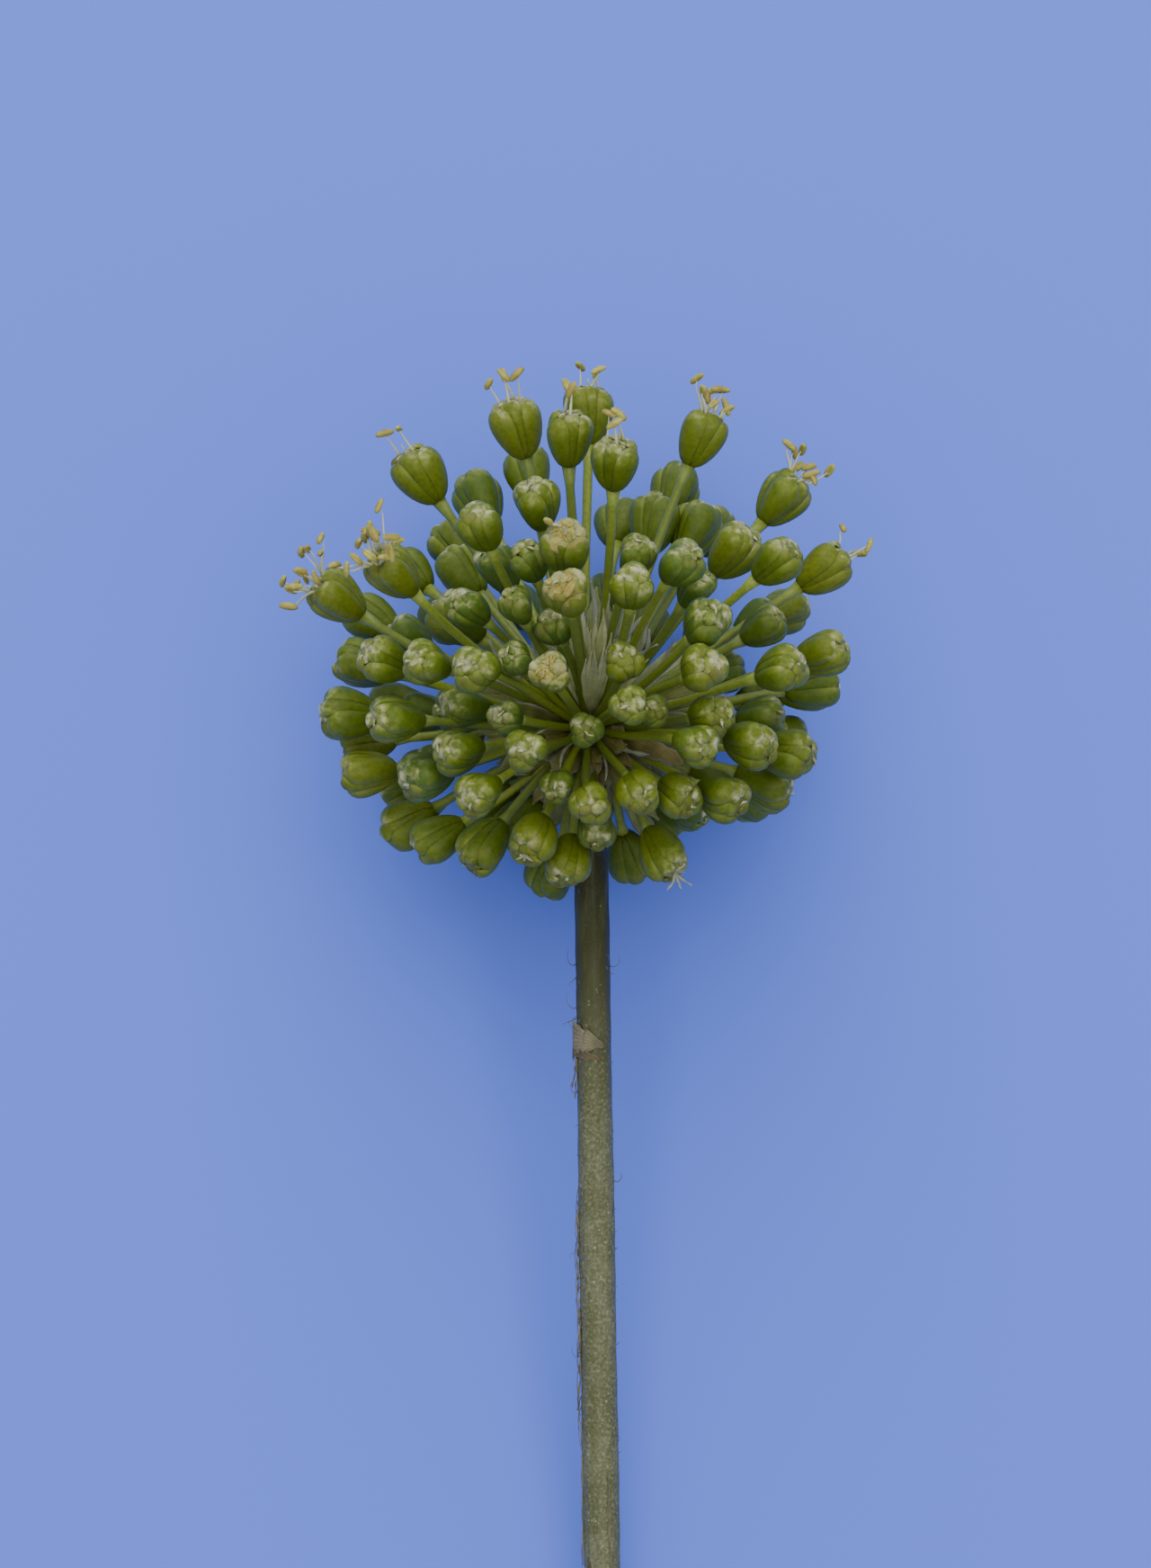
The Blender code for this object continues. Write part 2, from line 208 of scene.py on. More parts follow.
def plant_frame():
    """The receptacle's middle from its solid, the floor under it, and the head's own axes: to the
    right, up the scape towards the crown, and towards the side that faces up. The scape slopes so
    that its cut end's middle lies one radius over the floor."""
    end_radius = SCAPE_RADII[-1]
    slope = (SHELL_HEIGHT - end_radius) / (SHELL_RISE + CUT_BELOW)
    level = math.sqrt(1 - slope * slope)
    low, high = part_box("receptacle")
    middle = (np.array(low) + np.array(high)) / 2 / MM
    floor = middle[2] - (SHELL_HEIGHT - slope * SHELL_RISE)
    right, crown, front = np.array([1.0, 0, 0]), np.array([0, level, slope]), np.array([0, -slope, level])
    return middle, floor, right, crown, front


MIDDLE, FLOOR, RIGHT, CROWN, FRONT = plant_frame()


def unit(vectors):
    """The same vectors, each divided by its own length."""
    vectors = np.asarray(vectors, float)
    return vectors / np.linalg.norm(vectors, axis=-1, keepdims=True)


def direction(drop, turn):
    """The unit vector at a drop and a turn: the crown's axis times the drop's cosine, plus its
    sine times the sideways vector, which is right by the turn's sine and front by its cosine."""
    drop, turn = math.radians(drop), math.radians(turn)
    side = RIGHT * math.sin(turn) + FRONT * math.cos(turn)
    return CROWN * math.cos(drop) + side * math.sin(drop)


def shell_reach(drop):
    """How far the spheroid of floret middles lies from the receptacle at a drop: the larger root of
    the quadratic that puts the point on the spheroid, whose middle is SHELL_RISE up the axis."""
    across, along = math.sin(math.radians(drop)), math.cos(math.radians(drop))
    a = (across / SHELL_ACROSS) ** 2 + (along / SHELL_ALONG) ** 2
    b = -2 * along * SHELL_RISE / SHELL_ALONG**2
    c = (SHELL_RISE / SHELL_ALONG) ** 2 - 1
    return (-b + math.sqrt(b * b - 4 * a * c)) / (2 * a)


def floret_middle(drop, turn, share):
    return MIDDLE + direction(drop, turn) * shell_reach(drop) * share


def chance(seed):
    """Random numbers that come out the same each time."""
    return np.random.default_rng(seed)


def spiral(count):
    """(drop, turn) of points spread evenly over a sphere: the drop's cosine falls by equal steps,
    and the turn grows by the golden angle and is kept within half a turn to either side."""
    for i in range(count):
        drop = math.degrees(math.acos(1 - 2 * (i + 0.5) / count))
        yield drop, (i * GOLDEN_TURN + 180) % 360 - 180


def nearest(middle, taken):
    """The distance from a point to the nearest of those already taken."""
    return np.linalg.norm(np.array(taken) - middle, axis=1).min()


def far_florets():
    """Florets that fill what the placed ones leave open: points of the spiral at the far side and
    the flanks, each kept where it stands LEAST_SPACING from every floret before it."""
    taken = [floret_middle(drop, turn, share) for drop, turn, share, _ in PLACED_FLORETS]
    found = []
    for drop, turn in spiral(FAR_CANDIDATES):
        if not FAR_DROPS[0] < drop < FAR_DROPS[1] or abs(turn) < FAR_TURN:
            continue
        middle = floret_middle(drop, turn, 1.0)
        if nearest(middle, taken) > LEAST_SPACING:
            taken.append(middle)
            found.append((drop, turn, 1.0, SHUT))
    if (len(PLACED_FLORETS) + len(found)) % 2:
        found.pop()
    return found


def bud_size(stage, way):
    """A bud's size by its stage, less towards the side that faces up: by the cube of how squarely
    it faces that side."""
    return STAGE_SIZE[stage] * (1 - FRONT_SHRINK * max(0, way @ FRONT) ** 3)


def settle(middle, way, size):
    """Lifts a bud that would reach through the floor: half of its ellipsoid's height there is the
    root of its half-length's and its radius's upright shares, squared and added."""
    half, radius = BUD_LENGTH / 2 * size, BUD_RADIUS * size
    depth = math.hypot(half * way[2], radius * math.hypot(way[0], way[1]))
    return np.array([middle[0], middle[1], max(middle[2], FLOOR + depth)])


def florets(places):
    """(middle of the bud, its outward direction, stage) for florets at some places."""
    found = []
    for drop, turn, share, stage in places:
        way = direction(drop, turn)
        middle = settle(floret_middle(drop, turn, share), way, bud_size(stage, way))
        found.append((middle, unit(middle - MIDDLE), stage))
    return found


def inner_places():
    """The inner florets' places: the ones placed one by one, and points of the spiral on the far
    side, each kept where it clears the other florets' directions by an angle and stands
    INNER_SPACING from every floret before it."""
    places = list(INNER_FLORETS)
    outer = np.array([way for _, way, _ in SOLID_FLORETS])
    taken = [middle for middle, _, _ in (*SOLID_FLORETS, *florets(places))]
    for drop, turn in spiral(INNER_CANDIDATES):
        if not INNER_DROPS[0] < drop < INNER_DROPS[1] or abs(turn) < INNER_TURN:
            continue
        middle = floret_middle(drop, turn, INNER_SHARE)
        clear = math.degrees(math.acos(np.clip(outer @ direction(drop, turn), -1, 1).max()))
        if clear > INNER_CLEARANCE and nearest(middle, taken) > INNER_SPACING:
            taken.append(middle)
            places.append((drop, turn, INNER_SHARE, YOUNG if len(places) % 3 else SHUT))
    return places


def neighbour_pairs(ways):
    """Florets two by two, each with a near neighbour: the closest pairs first, then partners are
    swapped between pairs for as long as that brings them closer together."""
    angle = np.arccos(np.clip(ways @ ways.T, -1, 1)).tolist()
    order = sorted((angle[i][j], i, j) for i in range(len(ways)) for j in range(i))
    free, pairs = set(range(len(ways))), []
    for _, i, j in order:
        if i in free and j in free:
            pairs.append([i, j])
            free -= {i, j}
    changed = True
    while changed:
        changed = False
        for p in range(len(pairs)):
            for q in range(p):
                (a, b), (c, d) = pairs[p], pairs[q]
                for first, second in (((a, c), (b, d)), ((a, d), (b, c))):
                    now = angle[pairs[p][0]][pairs[p][1]] ** 2 + angle[pairs[q][0]][pairs[q][1]] ** 2
                    then = angle[first[0]][first[1]] ** 2 + angle[second[0]][second[1]] ** 2
                    if then < now - 1e-9:
                        pairs[p], pairs[q] = list(first), list(second)
                        changed = True
    return sorted(sorted(pair) for pair in pairs)


SOLID_FLORETS = florets((*PLACED_FLORETS, *far_florets()))
PAIRS = neighbour_pairs(np.array([way for _, way, _ in SOLID_FLORETS]))
FLORETS = SOLID_FLORETS + florets(inner_places())


# Surfaces

def smooth_through(keys, where):
    """A smooth curve through key rows whose first column says how far along each stands: between
    two keys a cubic whose slope at each key is that between the keys on either side of it."""
    keys = np.array(keys, float)
    at, values = keys[:, 0], keys[:, 1:]
    slopes = np.gradient(values, at, axis=0)
    where = np.clip(np.asarray(where, float), at[0], at[-1])
    i = np.clip(np.searchsorted(at, where, side="right") - 1, 0, len(at) - 2)
    span = (at[i + 1] - at[i])[..., None]
    u = ((where - at[i])[..., None]) / span
    return (
        values[i] * (2 * u**3 - 3 * u**2 + 1)
        + values[i + 1] * (3 * u**2 - 2 * u**3)
        + slopes[i] * span * (u**3 - 2 * u**2 + u)
        + slopes[i + 1] * span * (u**3 - u**2)
    )


def ramp(x, low, high):
    """From 0 at low to 1 at high, eased at both ends: three times the square less twice the cube."""
    u = np.clip((np.asarray(x, float) - low) / (high - low), 0, 1)
    return u * u * (3 - 2 * u)


def across_axes(ways, hint):
    """Two unit vectors across each direction of travel: the hint with its share along the way
    taken out, and the cross product of the way and that."""
    ways = unit(ways)
    first = unit(hint - (ways * hint).sum(-1, keepdims=True) * ways)
    return first, np.cross(ways, first)


def any_across(way):
    """A unit vector across a direction, from whichever world axis stands furthest off it."""
    axis = np.eye(3)[np.argmin(np.abs(way))]
    return unit(axis - axis.dot(way) * way)


def axes_across(way):
    """Two unit vectors across a direction, square to each other."""
    first = any_across(way)
    return first, np.cross(way, first)


def spoke(axes, turn):
    """The unit vector at an angle from the first of two axes towards the second."""
    return axes[0] * math.cos(turn) + axes[1] * math.sin(turn)


def round_axis(base, axes, way, turn, girth, rise):
    """Points round an axis: from a base, out by a girth at an angle between two axes, and along
    the way by a rise."""
    out = (girth * np.cos(turn))[..., None] * axes[0] + (girth * np.sin(turn))[..., None] * axes[1]
    return base + out + rise[..., None] * way


class Bundle:
    """Surfaces gathered for one mesh, each point with its named values for the materials."""

    def __init__(self, *value_names):
        self.points, self.faces, self.slots, self.count = [], [], [], 0
        self.values = {name: [] for name in value_names}

    def add_tube(self, rings, slot=0, **values):
        """A closed surface through rings of points, rings by points round by 3: quads between
        neighbouring rings and a fan from the middle of the first and the last ring. It is turned
        to face outwards by the sign of the volume it encloses. A value is an array of rings by
        points round, or of a shape that broadcasts to it."""
        n, m = rings.shape[:2]
        points = np.concatenate([rings.reshape(-1, 3), rings[:1].mean(1), rings[-1:].mean(1)])
        start, here = np.arange(n - 1)[:, None] * m, np.arange(m)[None, :]
        there = (here + 1) % m
        quads = np.stack([start + here, start + there, start + m + there, start + m + here], -1)
        quads = quads.reshape(-1, 4)
        near = np.stack([np.full(m, n * m), there[0], here[0]], -1)
        far = np.stack([np.full(m, n * m + 1), (n - 1) * m + here[0], (n - 1) * m + there[0]], -1)
        fans = np.concatenate([near, far])
        corners = np.concatenate([quads[:, [0, 1, 2]], quads[:, [0, 2, 3]], fans])
        a, b, c = (points[corners[:, k]] - points[0] for k in range(3))
        if (a * np.cross(b, c)).sum() < 0:
            quads, fans = quads[:, ::-1], fans[:, ::-1]
        faces = (quads + self.count).tolist() + (fans + self.count).tolist()
        self.points.append(points)
        self.faces += faces
        self.slots.append(np.full(len(faces), slot))
        self.count += len(points)
        for name, kept in self.values.items():
            given = np.broadcast_to(np.asarray(values.get(name, 0.0), float), (n, m))
            kept.append(np.concatenate([given.ravel(), [given[0].mean(), given[-1].mean()]]))

    def add_sheet(self, path, face, half_widths, slot=0, **shape):
        """A thin sheet along a path, with how far along and across it each of its points lies."""
        rings, along, across = leaf_rings(path, face, half_widths, **shape)
        self.add_tube(rings, slot, along=along, across=across)

    def piece(self, name, materials):
        """The gathered surfaces as one object at the origin, its place in its mesh, in metres."""
        mesh = bpy.data.meshes.new(name)
        points = np.concatenate(self.points)
        points[:, 2] = np.maximum(points[:, 2], FLOOR)
        mesh.from_pydata((points * MM).tolist(), [], self.faces)
        mesh.polygons.foreach_set("material_index", np.concatenate(self.slots))
        mesh.polygons.foreach_set("use_smooth", np.full(len(self.faces), True))
        for value_name, kept in self.values.items():
            layer = mesh.attributes.new(value_name, "FLOAT", "POINT")
            layer.data.foreach_set("value", np.concatenate(kept))
        for finish in materials:
            mesh.materials.append(finish)
        mesh.update()
        made = bpy.data.objects.new(name, mesh)
        bpy.context.scene.collection.objects.link(made)
        return made


def stalk_rings(path, radii, sides, hint, flat=1.0):
    """Rings round a path: at each of its points a circle of the given radius across the way it
    goes, squeezed by flat along the hint's side."""
    path = np.asarray(path, float)
    ways = np.gradient(path, axis=0)
    first, second = across_axes(ways, np.asarray(hint, float))
    turn = np.linspace(0, 2 * math.pi, sides, endpoint=False)
    radii = np.broadcast_to(np.asarray(radii, float), (len(path),))
    reach = radii[:, None, None]
    return (
        path[:, None]
        + first[:, None] * np.cos(turn)[None, :, None] * reach * flat
        + second[:, None] * np.sin(turn)[None, :, None] * reach
    )


def bezier(points, count):
    """Points on the cubic whose ends are the first and last of four points, and whose middle two
    pull it: each weighed by the share of the way done and left, cubed in all."""
    t = np.linspace(0, 1, count)[:, None]
    a, b, c, d = (np.asarray(p, float) for p in points)
    return a * (1 - t) ** 3 + 3 * b * t * (1 - t) ** 2 + 3 * c * t**2 * (1 - t) + d * t**3


def leaf_rings(path, face, half_widths, cup=0.0, thickness=0.08, wave=0.0, waves=3.0, phase=0.0, columns=9):
    """Rings round a thin sheet along a path: over its outer face from edge to edge and back under
    it. The sheet is cupped by a square of the distance across, waves along its edges by a sine
    that grows with the cube of that distance, and thins out at the edges."""
    path = np.asarray(path, float)
    ways = unit(np.gradient(path, axis=0))
    face = np.broadcast_to(np.asarray(face, float), path.shape)
    face = unit(face - (ways * face).sum(-1, keepdims=True) * ways)
    side = np.cross(ways, face)
    over = np.linspace(-1, 1, columns)
    under = np.linspace(1, -1, columns)[1:-1] * 0.96
    s = np.concatenate([over, under])
    sunk = np.concatenate([np.zeros(columns), thickness * (1 - 0.5 * np.abs(under))])
    along = np.linspace(0, 1, len(path))[:, None]
    half = np.asarray(half_widths, float)[:, None]
    lift = -cup * half * s**2 + wave * np.sin(waves * 2 * math.pi * along + 2 * s + phase) * np.abs(s) ** 3
    rings = path[:, None] + side[:, None] * (half * s)[..., None] + face[:, None] * (lift - sunk)[..., None]
    return rings, along * np.ones_like(s), np.ones_like(along) * s


# Finishes

def colour(red, green, blue):
    """A colour given as it looks on a screen, 0 to 255, as the shader's linear red, green, blue:
    each share over 0.04 is raised to 2.4 after its small offset, and a lower one divided."""
    shares = np.array([red, green, blue]) / 255
    linear = np.where(shares > 0.04045, ((shares + 0.055) / 1.055) ** 2.4, shares / 12.92)
    return tuple(float(x) for x in linear)


class Finish:
    """A procedural material put together node by node."""

    def __init__(self, name, roughness, **sockets):
        self.material = bpy.data.materials.new(name)
        self.material.use_nodes = True
        self.tree = self.material.node_tree
        self.shader = self.tree.nodes["Principled BSDF"]
        self.shader.inputs["Roughness"].default_value = roughness
        self.shader.inputs["Subsurface Radius"].default_value = (1.0, 1.0, 0.6)
        for socket, value in sockets.items():
            self.shader.inputs[socket.replace("_", " ")].default_value = value
        self.place = self.tree.nodes.new("ShaderNodeTexCoord").outputs["Object"]

    def feed(self, socket, value):
        """Links an output to a socket, or sets a value or a colour on it, or leaves it for None."""
        if isinstance(value, bpy.types.NodeSocket):
            self.tree.links.new(value, socket)
        elif value is not None:
            socket.default_value = (*value, 1) if socket.type == "RGBA" else value

    def node(self, kind, *inputs, **settings):
        """A new node with its settings, and what its inputs are fed in order."""
        made = self.tree.nodes.new("ShaderNode" + kind)
        for key, value in settings.items():
            setattr(made, key, value)
        for socket, value in zip(made.inputs, inputs):
            self.feed(socket, value)
        return made

    def value(self, name):
        """A value that the mesh carries at its points."""
        return self.node("Attribute", attribute_name=name).outputs["Fac"]

    def texture(self, kind, where, size, **inputs):
        """A texture whose patches measure about a size in millimetres."""
        made = self.node(kind)
        for name, value in {"Vector": where, "Scale": 1 / (size * MM), **inputs}.items():
            self.feed(made.inputs[name], value)
        return made

    def noise(self, size, detail=3.0, stretch=None):
        """Cloudy noise, finer with more detail."""
        where = self.node("Mapping", self.place, None, None, stretch).outputs[0] if stretch else self.place
        return self.texture("TexNoise", where, size, Detail=detail).outputs["Fac"]

    def band(self, source, *stops):
        """Reads colours off a scale of (place, colour) stops."""
        made = self.node("ValToRGB", source)
        scale = made.color_ramp
        while len(scale.elements) < len(stops):
            scale.elements.new(0.5)
        for element, (at, shade) in zip(scale.elements, stops):
            element.position = at
            element.color = (*shade, 1)
        return made.outputs["Color"]

    def share(self, source, low, high, start=0.0, end=1.0):
        """Maps a value from low..high to start..end, held at the ends and eased between them."""
        made = self.node("MapRange", source, low, high, start, end, interpolation_type="SMOOTHSTEP")
        return made.outputs["Result"]

    def calc(self, kind, *values):
        return self.node("Math", *values, operation=kind).outputs[0]

    def times(self, one, other):
        return self.calc("MULTIPLY", one, other)

    def plus(self, one, other):
        return self.calc("ADD", one, other)

    def mix(self, share, one, other):
        """One colour turned into another by a share from 0 to 1."""
        made = self.node("Mix", data_type="RGBA")
        for index, value in ((0, share), (6, one), (7, other)):
            self.feed(made.inputs[index], value)
        return made.outputs[2]

    def layers(self, body, *rows):
        """Colours laid over a body one by one: each by its source's share, and its colour last."""
        for *source, shade in rows:
            body = self.mix(self.share(*source), body, shade)
        return body

    def finish(self, base, bump=None, strength=0.4, depth=0.1, roughness=None):
        """Links the base colour, a bump whose depth is in millimetres, and a varied roughness."""
        self.feed(self.shader.inputs["Base Color"], base)
        self.feed(self.shader.inputs["Roughness"], roughness)
        if bump is not None:
            made = self.node("Bump", strength, depth * MM)
            self.feed(made.inputs["Height"], bump)
            self.feed(self.shader.inputs["Normal"], made.outputs[0])
        return self.material


def perianth_finish(look):
    """Waxy green tepals: yellow-green at the neck, deeper over the belly and paler towards the top,
    a bluer green in young florets, pale half-clear margins that meet in an arch, and dry whitish
    tips that start higher or lower from tepal to tepal. Painted light follows how far a surface
    faces the crown: a painted sheen of pale green patches over the shoulders, tips that reach
    further and are whiter on their upper sides as painted highlight, and painted shade in dark
    brown on their lower sides."""
    make = Finish("tepal_green", 0.5, Subsurface_Weight=0.3, Subsurface_Scale=0.0012,
                  Subsurface_Radius=(0.8, 1.0, 0.12), Specular_IOR_Level=0.25)
    along, across, tone, age, pale = (make.value(n) for n in ("along", "across", "tone", "age", "pale"))
    side = make.calc("ABSOLUTE", across)
    cloud, blotch, fine = make.noise(1.9), make.noise(0.8, 2.5), make.noise(0.3, 4.0)
    patch = make.noise(0.55)
    where = make.plus(along, make.share(fine, 0.3, 0.7, -0.03, 0.03))
    body = make.layers(
        make.band(where, (0.0, look.neck), (0.2, look.belly), (0.5, look.belly), (0.8, look.shoulder),
                  (1.0, look.shoulder)),
        (tone, 0.0, 0.4, 0.75, 0.0, look.young),
        (tone, 0.6, 1.0, 0.0, 0.45, colour(120, 126, 20)),
        (cloud, 0.35, 0.7, 0.0, 0.35, colour(78, 100, 20)),
        (blotch, 0.4, 0.7, 0.0, 0.28, colour(116, 126, 34)),
        (fine, 0.35, 0.6, 0.3, 0.0, colour(52, 66, 16)),
    )
    rim = make.times(make.share(side, 0.45, 0.95), make.share(along, 0.3, 0.75, 0.0, 0.8))
    rim = make.calc("MAXIMUM", rim, make.share(along, 0.8, 0.92, 0.0, 0.5))
    body = make.mix(make.times(rim, 0.8), body, look.margin)
    edge = make.times(make.share(side, 0.8, 1.0), make.share(along, 0.4, 0.85, 0.0, 0.5))
    body = make.mix(edge, body, colour(140, 153, 74))
    # Painted sheen: pale green patches over the upper shoulders, stronger where pale is high on the side that
    # faces the crown.
    bloom_and_sheen = make.times(make.share(blotch, 0.45, 0.62), make.share(along, 0.5, 0.8, 0.0, 0.5))
    body = make.mix(make.times(bloom_and_sheen, pale), body, colour(128, 141, 62))
    tip_start = make.plus(where, make.times(make.calc("POWER", side, 3.0), 0.08))
    tip_start = make.plus(tip_start, make.share(blotch, 0.3, 0.7, -0.14, 0.14))
    tip_start = make.plus(tip_start, make.times(age, 0.1))
    # pale is each floret's own paleness plus how far the surface faces the crown. Where it is high the dry
    # tips reach further and turn whiter, a painted highlight; where it is low, on the lower sides, they turn
    # dark brown, a painted shade.
    dry = make.times(make.share(tip_start, 0.74, 1.04, 0.0, 0.95), make.share(pale, -0.2, 0.8, 0.75, 1.0))
    dry = make.times(dry, make.share(patch, 0.27, 0.62, 0.4, 1.0))
    bright = make.times(make.share(patch, 0.32, 0.64), make.share(pale, 0.1, 0.8))
    tip = make.mix(bright, colour(126, 132, 66), look.tip)
    tip = make.mix(make.share(pale, -0.1, 0.6, 0.9, 0.0), tip, colour(64, 60, 24))
    body = make.mix(dry, body, tip)
    rust = make.mix(make.share(cloud, 0.4, 0.6), colour(160, 162, 104), colour(138, 128, 58))
    body = make.mix(make.times(make.share(tip_start, 0.9, 1.0, 0.0, 0.6), age), body, rust)
    body = make.mix(make.share(make.value("inside"), 0.3, 0.7), body, colour(120, 140, 60))
    dents = make.plus(make.times(cloud, 1.2), make.times(fine, 0.45))
    rough = make.plus(make.share(fine, 0.3, 0.7, 0.4, 0.52), make.times(dry, 0.3))
    return make.finish(body, dents, 0.3, 0.09, rough)


def pedicel_finish(look):
    """Yellow-green thin stalks, paler under the floret, with fine lengthwise ridges."""
    make = Finish("pedicel_green", 0.48, Subsurface_Weight=0.08, Subsurface_Scale=0.0006)
    streak = make.noise(0.3)
    body = make.layers(
        make.band(make.value("along"), (0.0, colour(132, 138, 66)), (0.2, look.stalk), (0.8, look.stalk),
                  (1.0, colour(132, 150, 52))),
        (make.value("tone"), 0.0, 1.0, 0.5, 0.0, colour(70, 92, 34)),
        (streak, 0.4, 0.75, 0.0, 0.4, colour(84, 88, 38)),
    )
    return make.finish(body, streak, 0.4, 0.05)


def crumbly_finish(name, roughness, sizes, colours, fleck, bump, **sockets):
    """Two colours in cloudy patches under grains of a third, which come in by a fleck's high end and
    strength: the mouths' shreds and withered middles, and the receptacle."""
    make = Finish(name, roughness, **sockets)
    patch, grain = (make.noise(size) for size in sizes)
    one, other, speck = colours
    body = make.layers(one, (patch, 0.35, 0.65, other), (grain, 0.5, fleck[0], 0.0, fleck[1], speck))
    return make.finish(body, grain, *bump)


def filament_finish():
    """Pale, waxy, half-clear filaments, a little greener at the foot."""
    make = Finish("filament_pale", 0.35, Subsurface_Weight=0.25, Subsurface_Scale=0.0006)
    fine = make.noise(0.4, 2.0)
    body = make.band(make.value("along"), (0.0, colour(140, 152, 96)), (0.4, colour(176, 184, 150)),
                     (1.0, colour(190, 190, 160)))
    return make.finish(make.layers(body, (fine, 0.4, 0.7, 0.0, 0.3, colour(180, 172, 140))), fine, 0.2, 0.02)


def anther_finish(look):
    """Mealy ochre-yellow anthers, browner in their groove and when old."""
    make = Finish("anther_ochre", 0.75)
    grain, patch = make.noise(0.12, 4.0), make.noise(0.6, 2.0)
    body = make.layers(
        look.anther,
        (patch, 0.35, 0.65, colour(146, 142, 62)),
        (grain, 0.5, 0.75, 0.0, 0.6, colour(196, 194, 128)),
        (make.value("across"), 0.5, 1.0, 0.0, 0.55, colour(110, 96, 40)),
    )
    body = make.mix(make.times(make.value("age"), 0.45), body, colour(134, 100, 44))
    return make.finish(body, grain, 0.8, 0.08)


def scape_finish(look):
    """A glaucous green stalk: grey bloom in patches and pale pinprick specks, with fine lengthwise
    streaks, and painted shade under the head, where it is darker and browner."""
    make = Finish("scape_glaucous", 0.6, Specular_IOR_Level=0.25)
    along = make.value("along")
    lower = make.share(along, 0.22, 0.42)
    streak = make.noise(0.5, 4.0, (1.0, 0.08, 0.6))
    bloom_and_sheen, mottle = make.noise(3.0, 4.0), make.noise(0.22)
    # The dark, browner stretch of this band under the head is painted shade of the head over the scape.
    body = make.band(along, (0.0, colour(58, 62, 28)), (0.12, colour(36, 38, 14)), (0.2, colour(48, 50, 24)),
                     (0.3, colour(66, 68, 42)), (0.4, look.skin), (1.0, look.skin))
    body = make.mix(make.times(make.share(bloom_and_sheen, 0.4, 0.65, 0.1, 0.6), lower), body, look.bloom_and_sheen)
    body = make.layers(body, (streak, 0.45, 0.7, 0.0, 0.4, colour(74, 84, 44)))
    specks = make.texture("TexVoronoi", make.place, 0.55)
    dots = make.share(specks.outputs["Distance"], 0.1, 0.22, 1.0, 0.0)
    some = make.times(make.share(make.noise(1.6), 0.42, 0.6), make.share(along, 0.2, 0.45, 0.3, 1.0))
    body = make.mix(make.times(make.times(dots, 0.7), some), body, colour(158, 160, 130))
    body = make.layers(body, (mottle, 0.35, 0.5, 0.45, 0.0, colour(62, 66, 36)))
    body = make.mix(make.times(make.share(mottle, 0.52, 0.68, 0.0, 0.5), lower), body, colour(134, 136, 112))
    scars = make.share(make.noise(1.1, 5.0, (1.0, 0.35, 1.0)), 0.66, 0.74)
    body = make.mix(make.times(scars, 0.7), body, colour(70, 58, 36))
    pith = make.mix(make.share(make.noise(0.3), 0.4, 0.6), colour(176, 184, 120), colour(140, 150, 84))
    body = make.mix(make.share(make.value("cut"), 0.3, 0.7), body, pith)
    height = make.plus(make.times(streak, 0.8), make.times(dots, 0.12))
    return make.finish(body, height, 0.5, 0.08, make.share(bloom_and_sheen, 0.35, 0.65, 0.42, 0.6))


def membrane_finish(name, pale, deep, vein, rim=0.6):
    """A dry papery membrane: two tones in cloudy patches, lengthwise veins, paler thin edges. The
    three colours are given as they look on a screen."""
    make = Finish(name, 0.62, Subsurface_Weight=0.2, Subsurface_Scale=0.0008)
    across = make.value("across")
    veins = make.calc("SINE", make.times(across, 26.0))
    body = make.layers(
        colour(*pale),
        (make.noise(1.6), 0.35, 0.65, colour(*deep)),
        (veins, 0.2, 1.0, 0.0, 0.45, colour(*vein)),
        (make.calc("ABSOLUTE", across), 0.75, 1.0, 0.0, rim, colour(200, 200, 158)),
    )
    return make.finish(body, make.plus(make.times(veins, 0.4), make.noise(0.25)), 0.6, 0.06)


# Shapes

